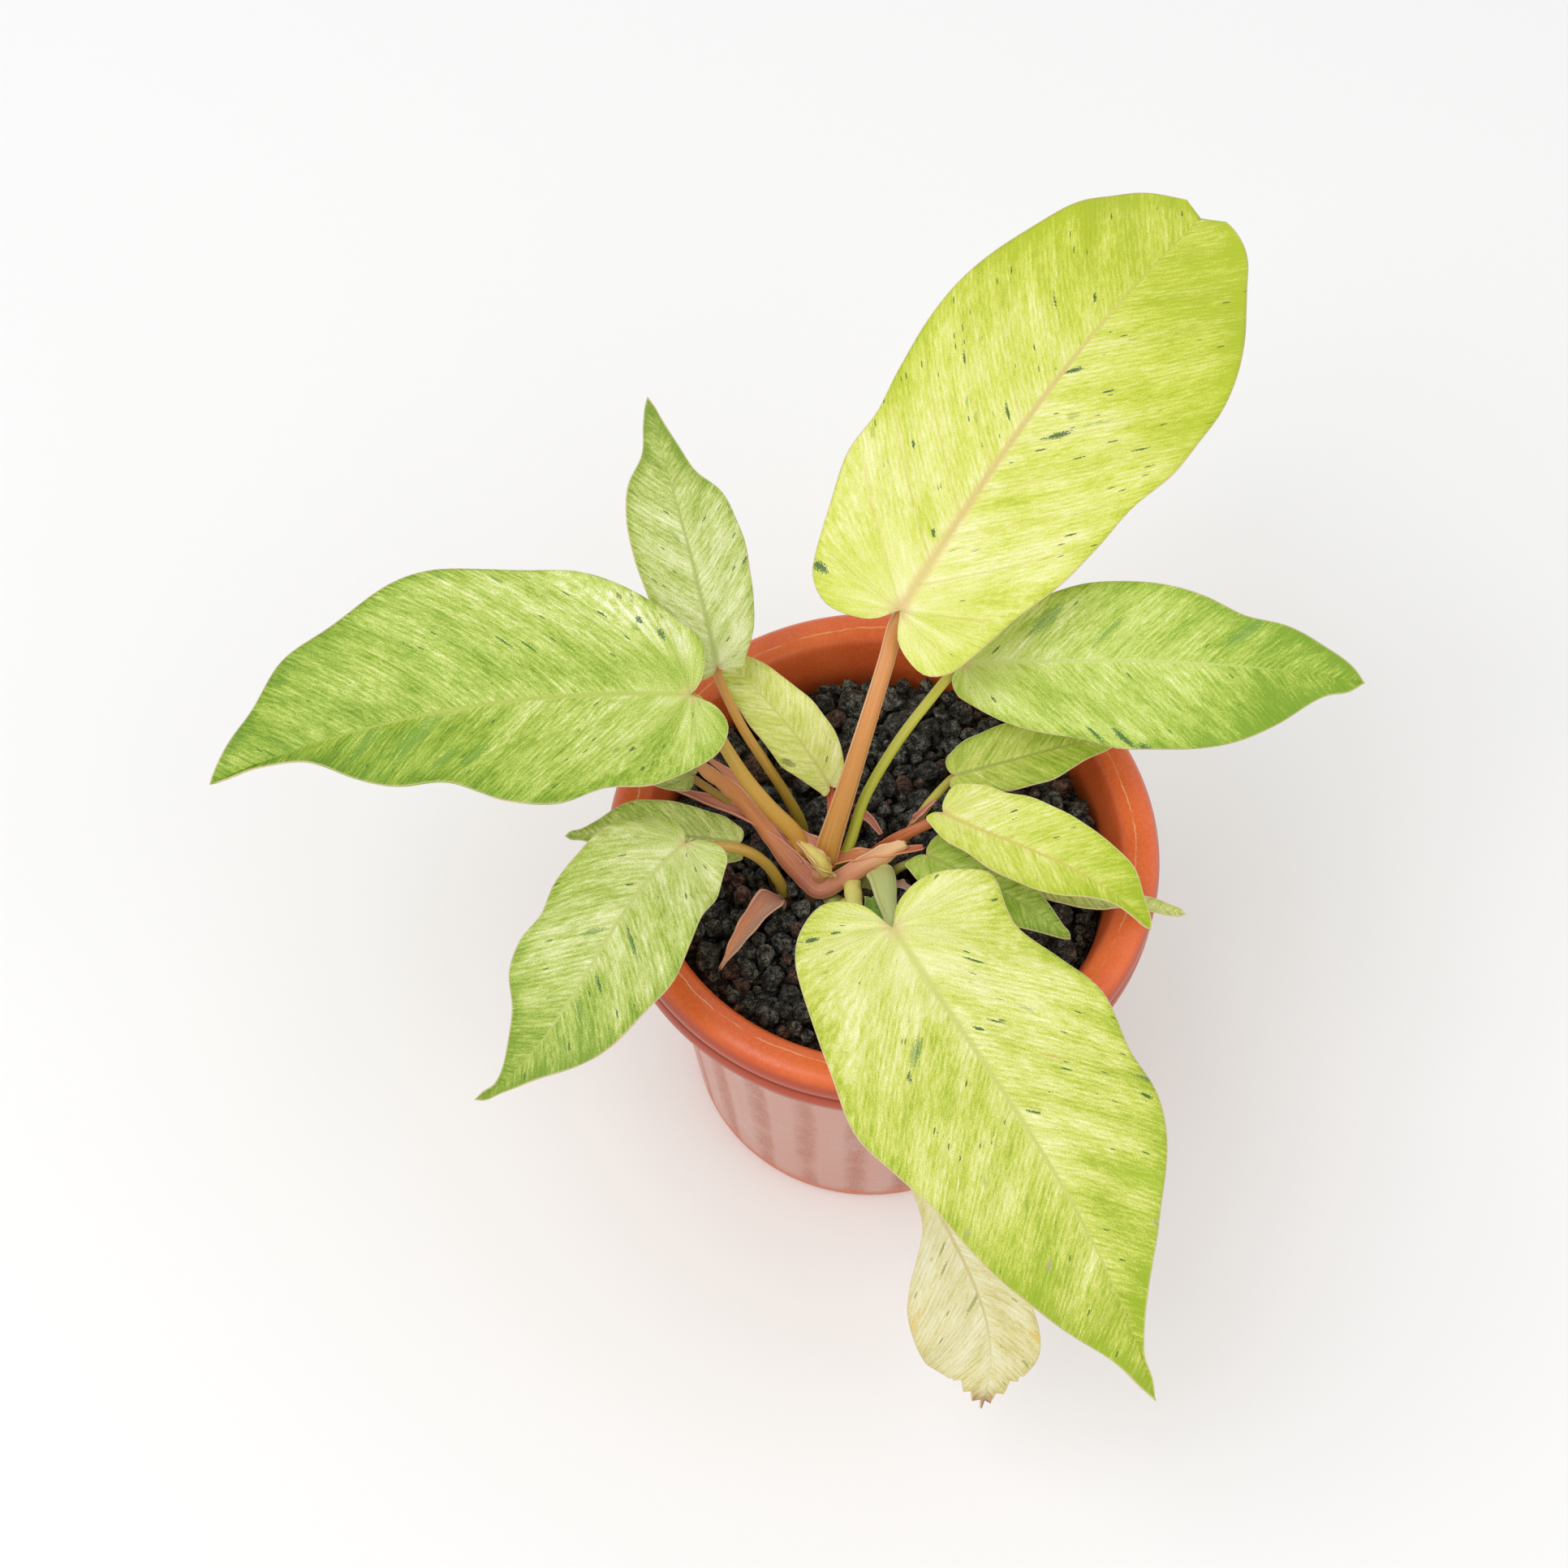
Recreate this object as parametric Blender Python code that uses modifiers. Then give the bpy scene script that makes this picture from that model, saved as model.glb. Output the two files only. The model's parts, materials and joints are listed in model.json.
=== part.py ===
# A potted philodendron: a fluted nursery pot, lava rock around the roots, and fifteen
# heart-shaped leaves on their petioles. Lengths in the tables are millimetres.
import bmesh
import bpy
import math
import numpy as np
from mathutils import Vector

MM = 0.001
SEED = 11

RIM_RADIUS = 90.0
POT_HEIGHT = 151.0
WALL_TOP_RADIUS = 77.6
BASE_RADIUS = 62.5
WALL = 3.0
FLOOR_TOP = 4.5
FLUTES = 24
FLUTE_DEPTH = 0.9
TURN_STEPS = 2 * FLUTES
SKIRT_BOTTOM = 134.5
FOOT_RING = (54.0, 61.0)
RECESS_HEIGHT = 2.0
HUB_RADIUS = 22.0
DRAIN_HOLES = 6
DRAIN_RADIUS = 4.5
DRAIN_CIRCLE = 37.0

CLEARANCE = 0.4
MEDIUM_TOP = 135.5
ROCK_RINGS = (0.0, 13.0, 26.5, 40.0, 53.0, 65.0)
ROCK_SIZE = (5.6, 7.2)

STEM_PLACE = (-19.5, -12.5)
STEM_RADIUS = 6.6
STEM_TOP = 153.0
ROOT_DEPTH = 127.0

BLADE_THICKNESS = 0.8
RIB_SLANT = 0.45
JOINT_GAP = 0.6
HOLE_GAP = 0.35

STATIONS = (0.0, 0.1, 0.2, 0.3, 0.4, 0.5, 0.6, 0.7, 0.8, 0.9, 0.96)

# spine: four points from the joint to the tip. lobes: how far each lobe reaches behind the
# joint, and where. left, right: half-widths at STATIONS. petiole: points from root to joint.
LEAVES = {
    "a": dict(
        spine=[(-1, 47, 215), (24, 87, 238), (52, 133, 250), (89.5, 193, 246)],
        face=(-0.1, -0.3, 0.95), fold=0.12, bend=0.001, wave=1.8, waves=4,
        lobes=[(11, 19), (13, 17)],
        left=(32, 37, 41, 40, 43, 44, 44, 42, 36, 27, 18),
        right=(28, 33, 39, 42, 44, 49, 49, 48, 41, 29, 19),
        petiole=[(-19, -10, 147), (-17, -5, 158), (-13, 5, 174), (-8.5, 18, 191), (-4, 34, 204)],
        radius=(3.2, 2.6),
    ),
    "b": dict(
        spine=[(-64, 19, 200), (-114, 8, 207), (-163, -5, 203), (-212, -20, 186)],
        face=(0, -0.1, 1), fold=0.25, bend=0.002, wave=1.6, waves=4,
        lobes=[(10, 13), (5, 14)],
        left=(27, 34, 35, 40, 36, 28, 25, 17, 6, 1.5, 1),
        right=(22, 32, 39, 42, 44, 45, 42, 34, 27, 15, 6),
        petiole=[(-25.5, -8.5, 144), (-28, -4.5, 156), (-37, -1, 167), (-45, 3, 177), (-53, 9, 188)],
        radius=(2.6, 1.9),
    ),
    "c": dict(
        spine=[(-58, 39, 185), (-67, 62, 203), (-77, 87, 214), (-89, 122, 215)],
        face=(0.1, -0.3, 0.95), fold=0.12, bend=0.001, wave=1.0, waves=3,
        lobes=[(3, 6), (2, 6)],
        left=(9, 13, 16, 17, 18, 18, 17, 14, 7, 4, 2),
        right=(9, 14, 16, 17, 18, 17, 15, 9, 6, 3, 1.5),
        petiole=[(-26, 8, 128), (-27.5, 10, 139), (-33, 14, 150), (-40, 18, 162), (-49, 25, 174)],
        radius=(1.9, 1.5),
    ),
    "d": dict(
        spine=[(-19, 16, 155), (-29, 25, 165), (-42, 37, 171), (-57, 52, 169)],
        face=(0, -0.3, 1), fold=0.2, bend=0.002, wave=0.6, waves=2,
        lobes=[(2, 3), (2, 3)],
        left=(4, 6, 8, 10, 10, 10, 10, 9, 8, 6, 3),
        right=(5, 8, 10, 11, 11, 11, 10, 9, 8, 6, 3),
        petiole=[(-19.5, -7, 141), (-18.5, -1, 145), (-17.5, 6, 147.5), (-18, 12, 149.5)],
        radius=(1.8, 1.4),
    ),
    "e": dict(
        spine=[(21, 45, 190), (62, 42, 203), (103, 41, 208), (147, 43, 201)],
        face=(0, -0.45, 0.9), fold=0.12, bend=0.001, wave=1.4, waves=4,
        lobes=[(4, 7), (4, 6)],
        left=(10, 15, 20, 24, 25, 24, 21, 16, 14, 9, 5),
        right=(12, 19, 23, 25, 28, 28, 27, 24, 17, 7, 4),
        petiole=[(-14, -8.5, 142), (-10.5, -2, 153), (-7, 8, 164), (1, 21, 175), (10, 33, 183)],
        radius=(2.5, 1.9),
    ),
    "f": dict(
        spine=[(21, 18, 165), (39, 22, 171), (59, 29, 173), (78, 38, 170)],
        face=(0, -0.3, 1), fold=0.1, bend=0.001, wave=0.6, waves=2,
        lobes=[(2, 4), (2, 3)],
        left=(7, 10, 11, 12, 12, 11, 10, 8, 6, 4, 2),
        right=(5, 8, 9, 10, 10, 10, 8, 6, 5, 3, 1.5),
        petiole=[(4, 4, 128), (6, 5, 140), (10, 8, 150), (14, 12, 157)],
        radius=(1.8, 1.4),
    ),
    "g": dict(
        spine=[(18, 0, 172), (41, -14, 181), (65, -23, 179), (86, -32, 165)],
        face=(0.1, -0.2, 1), fold=0.2, bend=0.002, wave=0.8, waves=3,
        lobes=[(3, 7), (3, 4)],
        left=(11, 14, 14, 15, 15, 15, 14, 12, 10, 5, 2.5),
        right=(6, 9, 10, 12, 12, 12, 10, 6, 3, 2, 1.5),
        petiole=[(-6, -3, 128), (-4, -2.5, 142), (2, -2, 153), (9, -2, 162)],
        radius=(2.3, 1.7),
    ),
    "h": dict(
        spine=[(14, -8, 158), (30, -19, 165), (47, -26, 162), (62, -30, 150)],
        face=(0.1, -0.2, 1), fold=0.15, bend=0.002, wave=0.6, waves=2,
        lobes=[(2, 5), (3, 6)],
        left=(8, 10, 10, 10, 10, 10, 9, 6, 4, 2, 1.5),
        right=(8, 10, 10, 10, 9, 9, 9, 7, 5, 3, 1.5),
        petiole=[(0, -9, 128), (2, -9, 140), (6, -8.5, 149)],
        radius=(1.6, 1.3),
    ),
    "i": dict(
        spine=[(43, -11, 156), (62, -17, 159), (80, -19, 158), (98, -19, 153)],
        face=(0, 0, 1), fold=0.1, bend=0.001, wave=0.4, waves=2,
        lobes=[(1, 2), (1, 2)],
        left=(4, 5, 6, 6, 6, 5, 4, 3, 3, 2, 1.5),
        right=(4, 5, 6, 6, 6, 5, 3, 2.5, 2, 2, 1.5),
        petiole=[(8, -15, 128), (11, -15, 141), (20, -14, 148), (31, -12.5, 151)],
        radius=(1.4, 1.1),
    ),
    "j": dict(
        spine=[(5, -49, 185), (39, -101, 193), (69, -143, 184), (93, -182, 156)],
        face=(0.15, -0.3, 0.95), fold=0.12, bend=0.001, wave=1.8, waves=4,
        lobes=[(10, 17), (18, 15)],
        left=(35, 32, 37, 41, 39, 38, 32, 21, 9, 1.5, 1),
        right=(33, 38, 42, 45, 41, 37, 33, 28, 20, 9, 4),
        petiole=[
            (-4.4, -11, 128), (-3.6, -10.8, 140), (-1.2, -10.5, 148), (0.6, -18, 157.5), (2.4, -31, 168),
            (4.2, -42, 177),
        ],
        radius=(3.2, 1.9),
    ),
    "k": dict(
        spine=[(21, -106, 127), (34, -123, 112), (46, -138, 86), (47, -156, 58)],
        face=(0.2, -0.9, 0.5), fold=0.1, bend=0.001, wave=1.0, waves=3,
        lobes=[(1, 2), (1, 2)],
        left=(5, 8, 11, 13, 14, 15, 15, 16, 15, 9, 4),
        right=(5, 5, 7, 13, 19, 23, 24, 23, 20, 11, 6),
        petiole=[
            (-11, -20, 128), (-10.5, -21, 143), (-7, -29, 151), (0, -51, 156), (5, -72, 158.5),
            (10, -92, 156.5), (15, -102, 147),
        ],
        radius=(2.6, 1.9),
    ),
    "l": dict(
        spine=[(-62, -22, 178), (-80, -59, 187), (-95, -92, 183), (-118, -108, 161)],
        face=(-0.1, -0.3, 0.95), fold=0.15, bend=0.001, wave=1.4, waves=4,
        lobes=[(6, 9), (3, 6)],
        left=(16, 21, 22, 24, 25, 23, 20, 14, 7, 3, 2),
        right=(13, 20, 22, 23, 21, 22, 20, 12, 7, 1.5, 1),
        petiole=[(-30, -15, 128), (-32, -15, 142), (-38, -15, 157), (-47, -17, 168)],
        radius=(2.0, 1.5),
    ),
    "m": dict(
        spine=[(-46, -8, 155), (-64, -11, 162), (-83, -13, 164), (-102, -13, 159)],
        face=(0, -0.2, 1), fold=0.1, bend=0.001, wave=0.6, waves=2,
        lobes=[(1, 3), (1, 3)],
        left=(6, 8, 9, 9, 9, 9, 8, 7, 4, 2, 1.5),
        right=(5, 8, 9, 10, 11, 11, 11, 9, 5, 2, 1.5),
        petiole=[(-35, -8, 128), (-37, -8, 141), (-40, -8, 148)],
        radius=(1.4, 1.2),
    ),
    "n": dict(
        spine=[(-63, 11, 163), (-76, 14, 168), (-88, 17, 169), (-100, 19, 165)],
        face=(0, -0.2, 1), fold=0.1, bend=0.001, wave=0.4, waves=2,
        lobes=[(1, 3), (1, 3)],
        left=(6, 8, 9, 9, 9, 9, 8, 7, 4, 2, 1.5),
        right=(6, 8, 9, 9, 9, 9, 8, 7, 4, 2, 1.5),
        petiole=[(-28, -3, 128), (-31, -2, 142), (-39, 2, 150), (-50, 6, 155)],
        radius=(1.7, 1.3),
    ),
    "o": dict(
        spine=[(-2.5, -21, 149), (0, -30, 151.5), (4, -40, 153), (9, -49, 151)],
        face=(0, -0.3, 1), fold=0.15, bend=0.002, wave=0.2, waves=1,
        lobes=[(1, 2), (1, 2)],
        left=(2.5, 3.5, 4, 4.5, 4.5, 4.5, 4, 3.5, 3, 2, 1.5),
        right=(2, 2.5, 3, 3, 3.5, 3.5, 3, 3, 2.5, 2, 1.5),
        petiole=[(-3, -16, 128), (-3, -17, 139), (-3, -19, 144)],
        radius=(1.2, 1.0),
    ),
}
LARGE_LEAVES = "abejl"
LIME_LEAVES = "agj"
CREAM_LEAVES = "k"

# Papery scale leaves: points along the keel, half-widths there, and the sides' lift.
SHEATHS = {
    "left_long": dict(keel=[(-20, -13, 146), (-29, -8, 152), (-42, 0, 155), (-70, 10, 155)],
                      half=(3.0, 2.6, 2.4, 1.2), lift=0.8),
    "left_arm": dict(keel=[(-20, -17, 145), (-27, -12, 153), (-38, -3, 161), (-57, 13, 170)],
                     half=(4.0, 4.0, 3.4, 1.8), lift=0.9),
    "right_arm": dict(keel=[(-20, -17, 145), (-12, -15, 152), (-2, -10, 155), (12, -5, 157)],
                      half=(4.0, 3.8, 3.2, 1.8), lift=0.9),
    "new_leaf": dict(keel=[(-19, -14, 148), (-21, -13.5, 155), (-24, -12.5, 160), (-29, -9.5, 165)],
                     half=(2.2, 2.4, 1.8, 0.8), lift=1.3),
}
LOOSE_SHEATHS = {
    "sheath_front": dict(keel=[(-31, -21, 130), (-33, -23, 143), (-40, -32, 149), (-48, -49, 147)],
                         half=(2.4, 4.2, 3.4, 0.9), lift=0.8),
    "sheath_back": dict(keel=[(-9, 13, 130), (-8, 12, 142), (-5, 8.5, 147), (-1, 4, 147)],
                        half=(1.6, 2.4, 2.0, 0.8), lift=0.8),
}


def clear(objects):
    for item in list(objects):
        bpy.data.objects.remove(item, do_unlink=True)


def collection(name):
    made = bpy.data.collections.new(name)
    bpy.context.scene.collection.children.link(made)
    return made


def material(name, colour, roughness, metallic=0.0):
    made = bpy.data.materials.new(name)
    made.use_nodes = True
    shader = made.node_tree.nodes["Principled BSDF"]
    shader.inputs["Base Color"].default_value = (*colour, 1.0)
    shader.inputs["Roughness"].default_value = roughness
    shader.inputs["Metallic"].default_value = metallic
    return made


def place(name, data, where, finish):
    made = bpy.data.objects.new(name, data)
    where.objects.link(made)
    data.materials.clear()
    data.materials.append(finish)
    return made


def apply_modifiers(item):
    """Bakes an object's modifiers into a mesh of its own."""
    graph = bpy.context.evaluated_depsgraph_get()
    mesh = bpy.data.meshes.new_from_object(item.evaluated_get(graph))
    item.modifiers.clear()
    item.data = mesh


def catmull_rom(points, steps):
    """A smooth line through the points, with this many steps to a span."""
    points = np.array(points, float)
    ends = np.vstack([2 * points[0] - points[1], points, 2 * points[-1] - points[-2]])
    t = np.linspace(0, 1, steps, endpoint=False)[:, None]
    spans = []
    for a, b, c, d in zip(ends, ends[1:], ends[2:], ends[3:]):
        spans.append(
            b + 0.5 * t * (c - a)
            + t**2 * (a - 2.5 * b + 2 * c - 0.5 * d)
            + t**3 * (1.5 * b - 0.5 * a - 1.5 * c + 0.5 * d)
        )
    return np.vstack([*spans, points[-1:]])


def resample(line, count):
    """The same line with its points evenly spaced."""
    run = np.r_[0, np.cumsum(np.linalg.norm(np.diff(line, axis=0), axis=1))]
    wanted = np.linspace(0, run[-1], count)
    return np.stack([np.interp(wanted, run, line[:, i]) for i in range(line.shape[1])], 1)


def unit(vectors):
    return vectors / np.linalg.norm(vectors, axis=-1, keepdims=True)


class Blade:
    """A leaf blade as a surface over (along the spine, out from it), in millimetres."""

    def __init__(self, leaf):
        self.leaf = leaf
        powers = np.vander(np.array([0, 1 / 3, 2 / 3, 1]), 4)
        self.spine = np.linalg.solve(powers, np.array(leaf["spine"], float))
        u = np.linspace(0, 1, 200)[:, None]
        line = np.hstack([u**3, u**2, u, u**0]) @ self.spine
        self.length = np.linalg.norm(np.diff(line, axis=0), axis=1).sum()

    def frame(self, along):
        """Point, tangent, left and up of the spine at these distances from the joint."""
        u = np.clip(along / self.length, 0, 1)[..., None]
        point = np.concatenate([u**3, u**2, u, u**0], -1) @ self.spine
        tangent = unit(np.concatenate([3 * u**2, 2 * u, u**0, 0 * u], -1) @ self.spine)
        left = unit(np.cross(np.array(self.leaf["face"], float), tangent))
        up = np.cross(tangent, left)
        point = point + tangent * (along[..., None] - u * self.length)
        return point, tangent, left, up

    def margin(self, side):
        """The outline of one half, from the joint round its lobe to the tip."""
        back, reach = self.leaf["lobes"][side]
        half = self.leaf["right" if side else "left"]
        lobe = [(0, 0), (-0.7 * back, 0.35 * reach), (-back, reach)]
        lobe.append((-0.66 * back, 0.54 * (reach + half[0])))
        body = [(share * self.length, width) for share, width in zip(STATIONS, half)]
        return catmull_rom([*lobe, *body, (self.length, 0)], 12)

    def half(self, side, fan, rows, columns):
        """Points of one half as rows of ribs, each running from the spine to the margin."""
        line = self.margin(side)
        start = np.maximum.accumulate(line[:, 0] - RIB_SLANT * np.abs(line[:, 1]))
        turn = int(np.argmax(start > 0))
        lobe = resample(line[: turn + 1], fan + 1)[:-1]
        roots = np.linspace(0, self.length, rows + 1)
        rest = np.stack([np.interp(roots, start[turn:], line[turn:, i]) for i in (0, 1)], 1)
        rest[-1] = self.length, 0
        edge = np.vstack([lobe, rest])
        root = np.r_[np.zeros(fan), roots]
        out = np.linspace(0, 1, columns + 1)
        bow = root + 0.35 * (edge[:, 0] - root)
        along = (
            np.outer(root, (1 - out) ** 2)
            + np.outer(bow, 2 * out * (1 - out))
            + np.outer(edge[:, 0], out**2)
        )
        across = np.outer(edge[:, 1], out)
        point, _, left, up = self.frame(along)
        turns = np.linspace(0, self.leaf["waves"], len(edge))[:, None]
        swing = np.sin(2 * math.pi * (turns + 0.3 * side)) * out**2
        fade = np.clip(edge[:, 1] / 12, 0, 1)[:, None]
        rise = self.leaf["fold"] * across - self.leaf["bend"] * across**2
        rise = rise + self.leaf["wave"] * fade * swing
        sign = -1 if side else 1
        return point + left * (sign * across)[..., None] + up * rise[..., None]


def blade_mesh(name, leaf, fan, rows, columns):
    """Both halves as triangles, joined along the spine."""
    blade = Blade(leaf)
    mesh = bpy.data.meshes.new(name)
    shape = bmesh.new()
    for side in (0, 1):
        grid = blade.half(side, fan, rows, columns) * MM
        corners = [[shape.verts.new(p) for p in row] for row in grid]
        for low, high in zip(corners, corners[1:]):
            for a, b, c, d in zip(low, low[1:], high[1:], high):
                for face in ((a, b, c), (a, c, d)):
                    shape.faces.new(face if side else face[::-1])
    bmesh.ops.remove_doubles(shape, verts=shape.verts, dist=0.01 * MM)
    bmesh.ops.dissolve_degenerate(shape, edges=shape.edges, dist=0.01 * MM)
    shape.to_mesh(mesh)
    shape.free()
    return mesh


def petiole_line(leaf):
    """The petiole's route, which ends square to the blade just under the joint."""
    blade = Blade(leaf)
    point, tangent, _, up = (v[0] for v in blade.frame(np.array([0.0])))
    under = BLADE_THICKNESS / 2 + JOINT_GAP
    thick = leaf["radius"][1]
    knee = point - up * (under + 2.2 * thick) - tangent * 0.8 * thick
    neck = point - up * (under + 0.9 * thick)
    end = point - up * under
    count = 3 + 2 * len(leaf["petiole"])
    run = resample(catmull_rom([*leaf["petiole"], knee], 8), count)
    return np.vstack([run, neck, end])


def tube(name, line, radii, where, finish, sides=1):
    """A curve object through the points, tapering between the two radii."""
    data = bpy.data.curves.new(name, "CURVE")
    data.dimensions = "3D"
    data.bevel_depth = MM
    data.bevel_resolution = sides
    data.use_fill_caps = True
    spline = data.splines.new("POLY")
    spline.points.add(len(line) - 1)
    run = np.linspace(0, 1, len(line))
    for point, place_at, share in zip(spline.points, line, run):
        point.co = (*(place_at * MM), 1.0)
        point.radius = radii[0] + (radii[1] - radii[0]) * share
    return place(name, data, where, finish)


def mesh_of(curve, where, finish):
    """The tube as a closed mesh, for a Boolean."""
    graph = bpy.context.evaluated_depsgraph_get()
    mesh = bpy.data.meshes.new_from_object(curve.evaluated_get(graph))
    shape = bmesh.new()
    shape.from_mesh(mesh)
    bmesh.ops.remove_doubles(shape, verts=shape.verts, dist=0.001 * MM)
    shape.to_mesh(mesh)
    shape.free()
    name = curve.name
    bpy.data.objects.remove(curve, do_unlink=True)
    return place(name, mesh, where, finish)


def trough(name, sheath, where, finish, rows=7):
    """A boat-shaped strip: an open U swept along its keel, then given its thickness."""
    keel = resample(catmull_rom(sheath["keel"], 8), rows + 1)
    knots = np.linspace(0, 1, len(sheath["half"]))
    half = np.interp(np.linspace(0, 1, rows + 1), knots, sheath["half"])[:, None, None]
    ahead = unit(np.gradient(keel, axis=0))
    side = unit(np.cross(np.array([0, 0, 1.0]), ahead))
    up = np.cross(ahead, side)
    out = np.linspace(-1, 1, 5)[None, :, None]
    grid = keel[:, None] + side[:, None] * half * out
    grid = (grid + up[:, None] * half * sheath["lift"] * out**2) * MM
    mesh = bpy.data.meshes.new(name)
    shape = bmesh.new()
    corners = [[shape.verts.new(p) for p in row] for row in grid]
    for low, high in zip(corners, corners[1:]):
        for a, b, c, d in zip(low, low[1:], high[1:], high):
            shape.faces.new((a, b, c))
            shape.faces.new((a, c, d))
    bmesh.ops.recalc_face_normals(shape, faces=shape.faces)
    shape.to_mesh(mesh)
    shape.free()
    made = place(name, mesh, where, finish)
    solidify(made, 0.9)
    return made


def solidify(item, thickness):
    shell = item.modifiers.new("Thickness", "SOLIDIFY")
    shell.thickness = thickness * MM
    shell.offset = 0


def boolean(item, operation, others):
    """Cuts or joins everything in a collection, applied at once."""
    cut = item.modifiers.new(operation.title(), "BOOLEAN")
    cut.operation = operation
    cut.operand_type = "COLLECTION"
    cut.collection = others
    apply_modifiers(item)


def turned(name, profile, where, finish):
    """A profile of (radius, height) turned about Z."""
    mesh = bpy.data.meshes.new(name)
    points = [(r * MM, 0, z * MM) for r, z in profile]
    edges = [(i, i + 1) for i in range(len(points) - 1)]
    mesh.from_pydata(points, edges, [])
    made = place(name, mesh, where, finish)
    screw = made.modifiers.new("Turn", "SCREW")
    screw.axis = "Z"
    screw.steps = screw.render_steps = TURN_STEPS
    screw.use_merge_vertices = True
    screw.merge_threshold = 0.00001
    apply_modifiers(made)
    return made


def inner_radius(height):
    """The pot's inner wall, straight from the floor to the rim."""
    slope = (WALL_TOP_RADIUS - BASE_RADIUS) / (POT_HEIGHT - 11)
    return BASE_RADIUS - WALL + slope * height


def build_pot(where, cutters, finish):
    """Rolled rim with a bead, sloping fluted wall, and a recessed base with drain holes."""
    rim = [
        (inner_radius(141), 141), (RIM_RADIUS - 14, 147), (RIM_RADIUS - 12.6, 149),
        (RIM_RADIUS - 10.5, 150.2), (RIM_RADIUS - 6.5, POT_HEIGHT), (RIM_RADIUS - 3, 150.2),
        (RIM_RADIUS - 0.8, 148.2), (RIM_RADIUS, 145.5), (RIM_RADIUS - 0.2, 142.5),
        (RIM_RADIUS - 1.1, 140.6), (RIM_RADIUS - 0.2, 139), (RIM_RADIUS, 137),
        (RIM_RADIUS - 0.4, SKIRT_BOTTOM),
    ]
    under = [(RIM_RADIUS - 2.2, SKIRT_BOTTOM), (RIM_RADIUS - 3.2, 139), (RIM_RADIUS - 7, 143),
             (RIM_RADIUS - 10.5, 143), (WALL_TOP_RADIUS, 140)]
    wall = [(WALL_TOP_RADIUS - 0.7, 133), ((WALL_TOP_RADIUS + BASE_RADIUS) / 2, 69)]
    foot = [
        (BASE_RADIUS, 3), (FOOT_RING[1], 0), (FOOT_RING[0], 0),
        (FOOT_RING[0] - 2, RECESS_HEIGHT), (HUB_RADIUS + 2, RECESS_HEIGHT), (HUB_RADIUS, 0), (0, 0),
    ]
    inside = [(0, FLOOR_TOP), (inner_radius(FLOOR_TOP), FLOOR_TOP)]
    pot = turned("pot", [*inside, *rim, *under, *wall, *foot], where, finish)
    for vertex in pot.data.vertices:
        radius = math.hypot(vertex.co.x, vertex.co.y)
        on_wall = 2 * MM < vertex.co.z < 134 * MM
        outer = radius > (inner_radius(vertex.co.z / MM) + WALL / 2) * MM
        column = round(math.atan2(vertex.co.y, vertex.co.x) / math.tau * TURN_STEPS)
        if on_wall and outer and column % 2:
            vertex.co.x *= 1 - FLUTE_DEPTH * MM / radius
            vertex.co.y *= 1 - FLUTE_DEPTH * MM / radius
    for i in range(DRAIN_HOLES):
        angle = math.tau * (i + 0.5) / DRAIN_HOLES
        mesh = bpy.data.meshes.new("drain")
        shape = bmesh.new()
        bmesh.ops.create_cone(shape, cap_ends=True, segments=12, radius1=DRAIN_RADIUS * MM,
                              radius2=DRAIN_RADIUS * MM, depth=12 * MM)
        shape.to_mesh(mesh)
        shape.free()
        hole = place("drain", mesh, cutters, finish)
        hole.location = (DRAIN_CIRCLE * MM * math.cos(angle), DRAIN_CIRCLE * MM * math.sin(angle),
                         3 * MM)
    bpy.context.view_layer.update()
    boolean(pot, "DIFFERENCE", cutters)
    clear(cutters.objects)
    pot.data.shade_smooth()
    pot.data.set_sharp_from_angle(angle=math.radians(35))
    return pot


def build_medium(where, rocks, finish):
    """Potting medium filling the pot, with lava rock standing out of its top."""
    draw = np.random.default_rng(SEED)
    side = [(inner_radius(z) - CLEARANCE, z) for z in (MEDIUM_TOP, 70, FLOOR_TOP + CLEARANCE)]
    profile = [(0, MEDIUM_TOP), *side, (0, FLOOR_TOP + CLEARANCE)]
    medium = turned("medium", profile, where, finish)
    for ring, radius in enumerate(ROCK_RINGS):
        count = max(1, round(math.tau * radius / 13.5))
        for i in range(count):
            angle = math.tau * (i + 0.5 * (ring % 2) + draw.uniform(-0.15, 0.15)) / count
            size = draw.uniform(*ROCK_SIZE) * MM
            mesh = bpy.data.meshes.new("rock")
            shape = bmesh.new()
            bmesh.ops.create_icosphere(shape, subdivisions=1, radius=size)
            for vertex in shape.verts:
                vertex.co *= draw.uniform(0.82, 1.12)
            shape.to_mesh(mesh)
            shape.free()
            rock = place("rock", mesh, rocks, finish)
            rock.rotation_euler = draw.uniform(0, math.tau, 3)
            reach = radius + draw.uniform(-1, 1)
            rock.location = Vector((reach * math.cos(angle), reach * math.sin(angle),
                                    MEDIUM_TOP + draw.uniform(-0.5, 1.2))) * MM
    bpy.context.view_layer.update()
    boolean(medium, "UNION", rocks)
    clear(rocks.objects)
    return medium


def build_stem(where, scraps, finish):
    """The crown: a short stem with its papery scale leaves and the rolled new leaf."""
    x, y = STEM_PLACE
    line = np.array([(x, y, ROOT_DEPTH), (x, y, 140), (x, y, 148), (x, y, STEM_TOP - 1),
                     (x, y, STEM_TOP)], float)
    core = tube("stem", line, (STEM_RADIUS, STEM_RADIUS), scraps, finish, sides=2)
    for point, share in zip(core.data.splines[0].points, (0.9, 1.0, 1.0, 0.85, 0.5)):
        point.radius = STEM_RADIUS * share
    stem = mesh_of(core, where, finish)
    for name, sheath in SHEATHS.items():
        apply_modifiers(trough(name, sheath, scraps, finish))
    boolean(stem, "UNION", scraps)
    clear(scraps.objects)
    return stem


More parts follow.
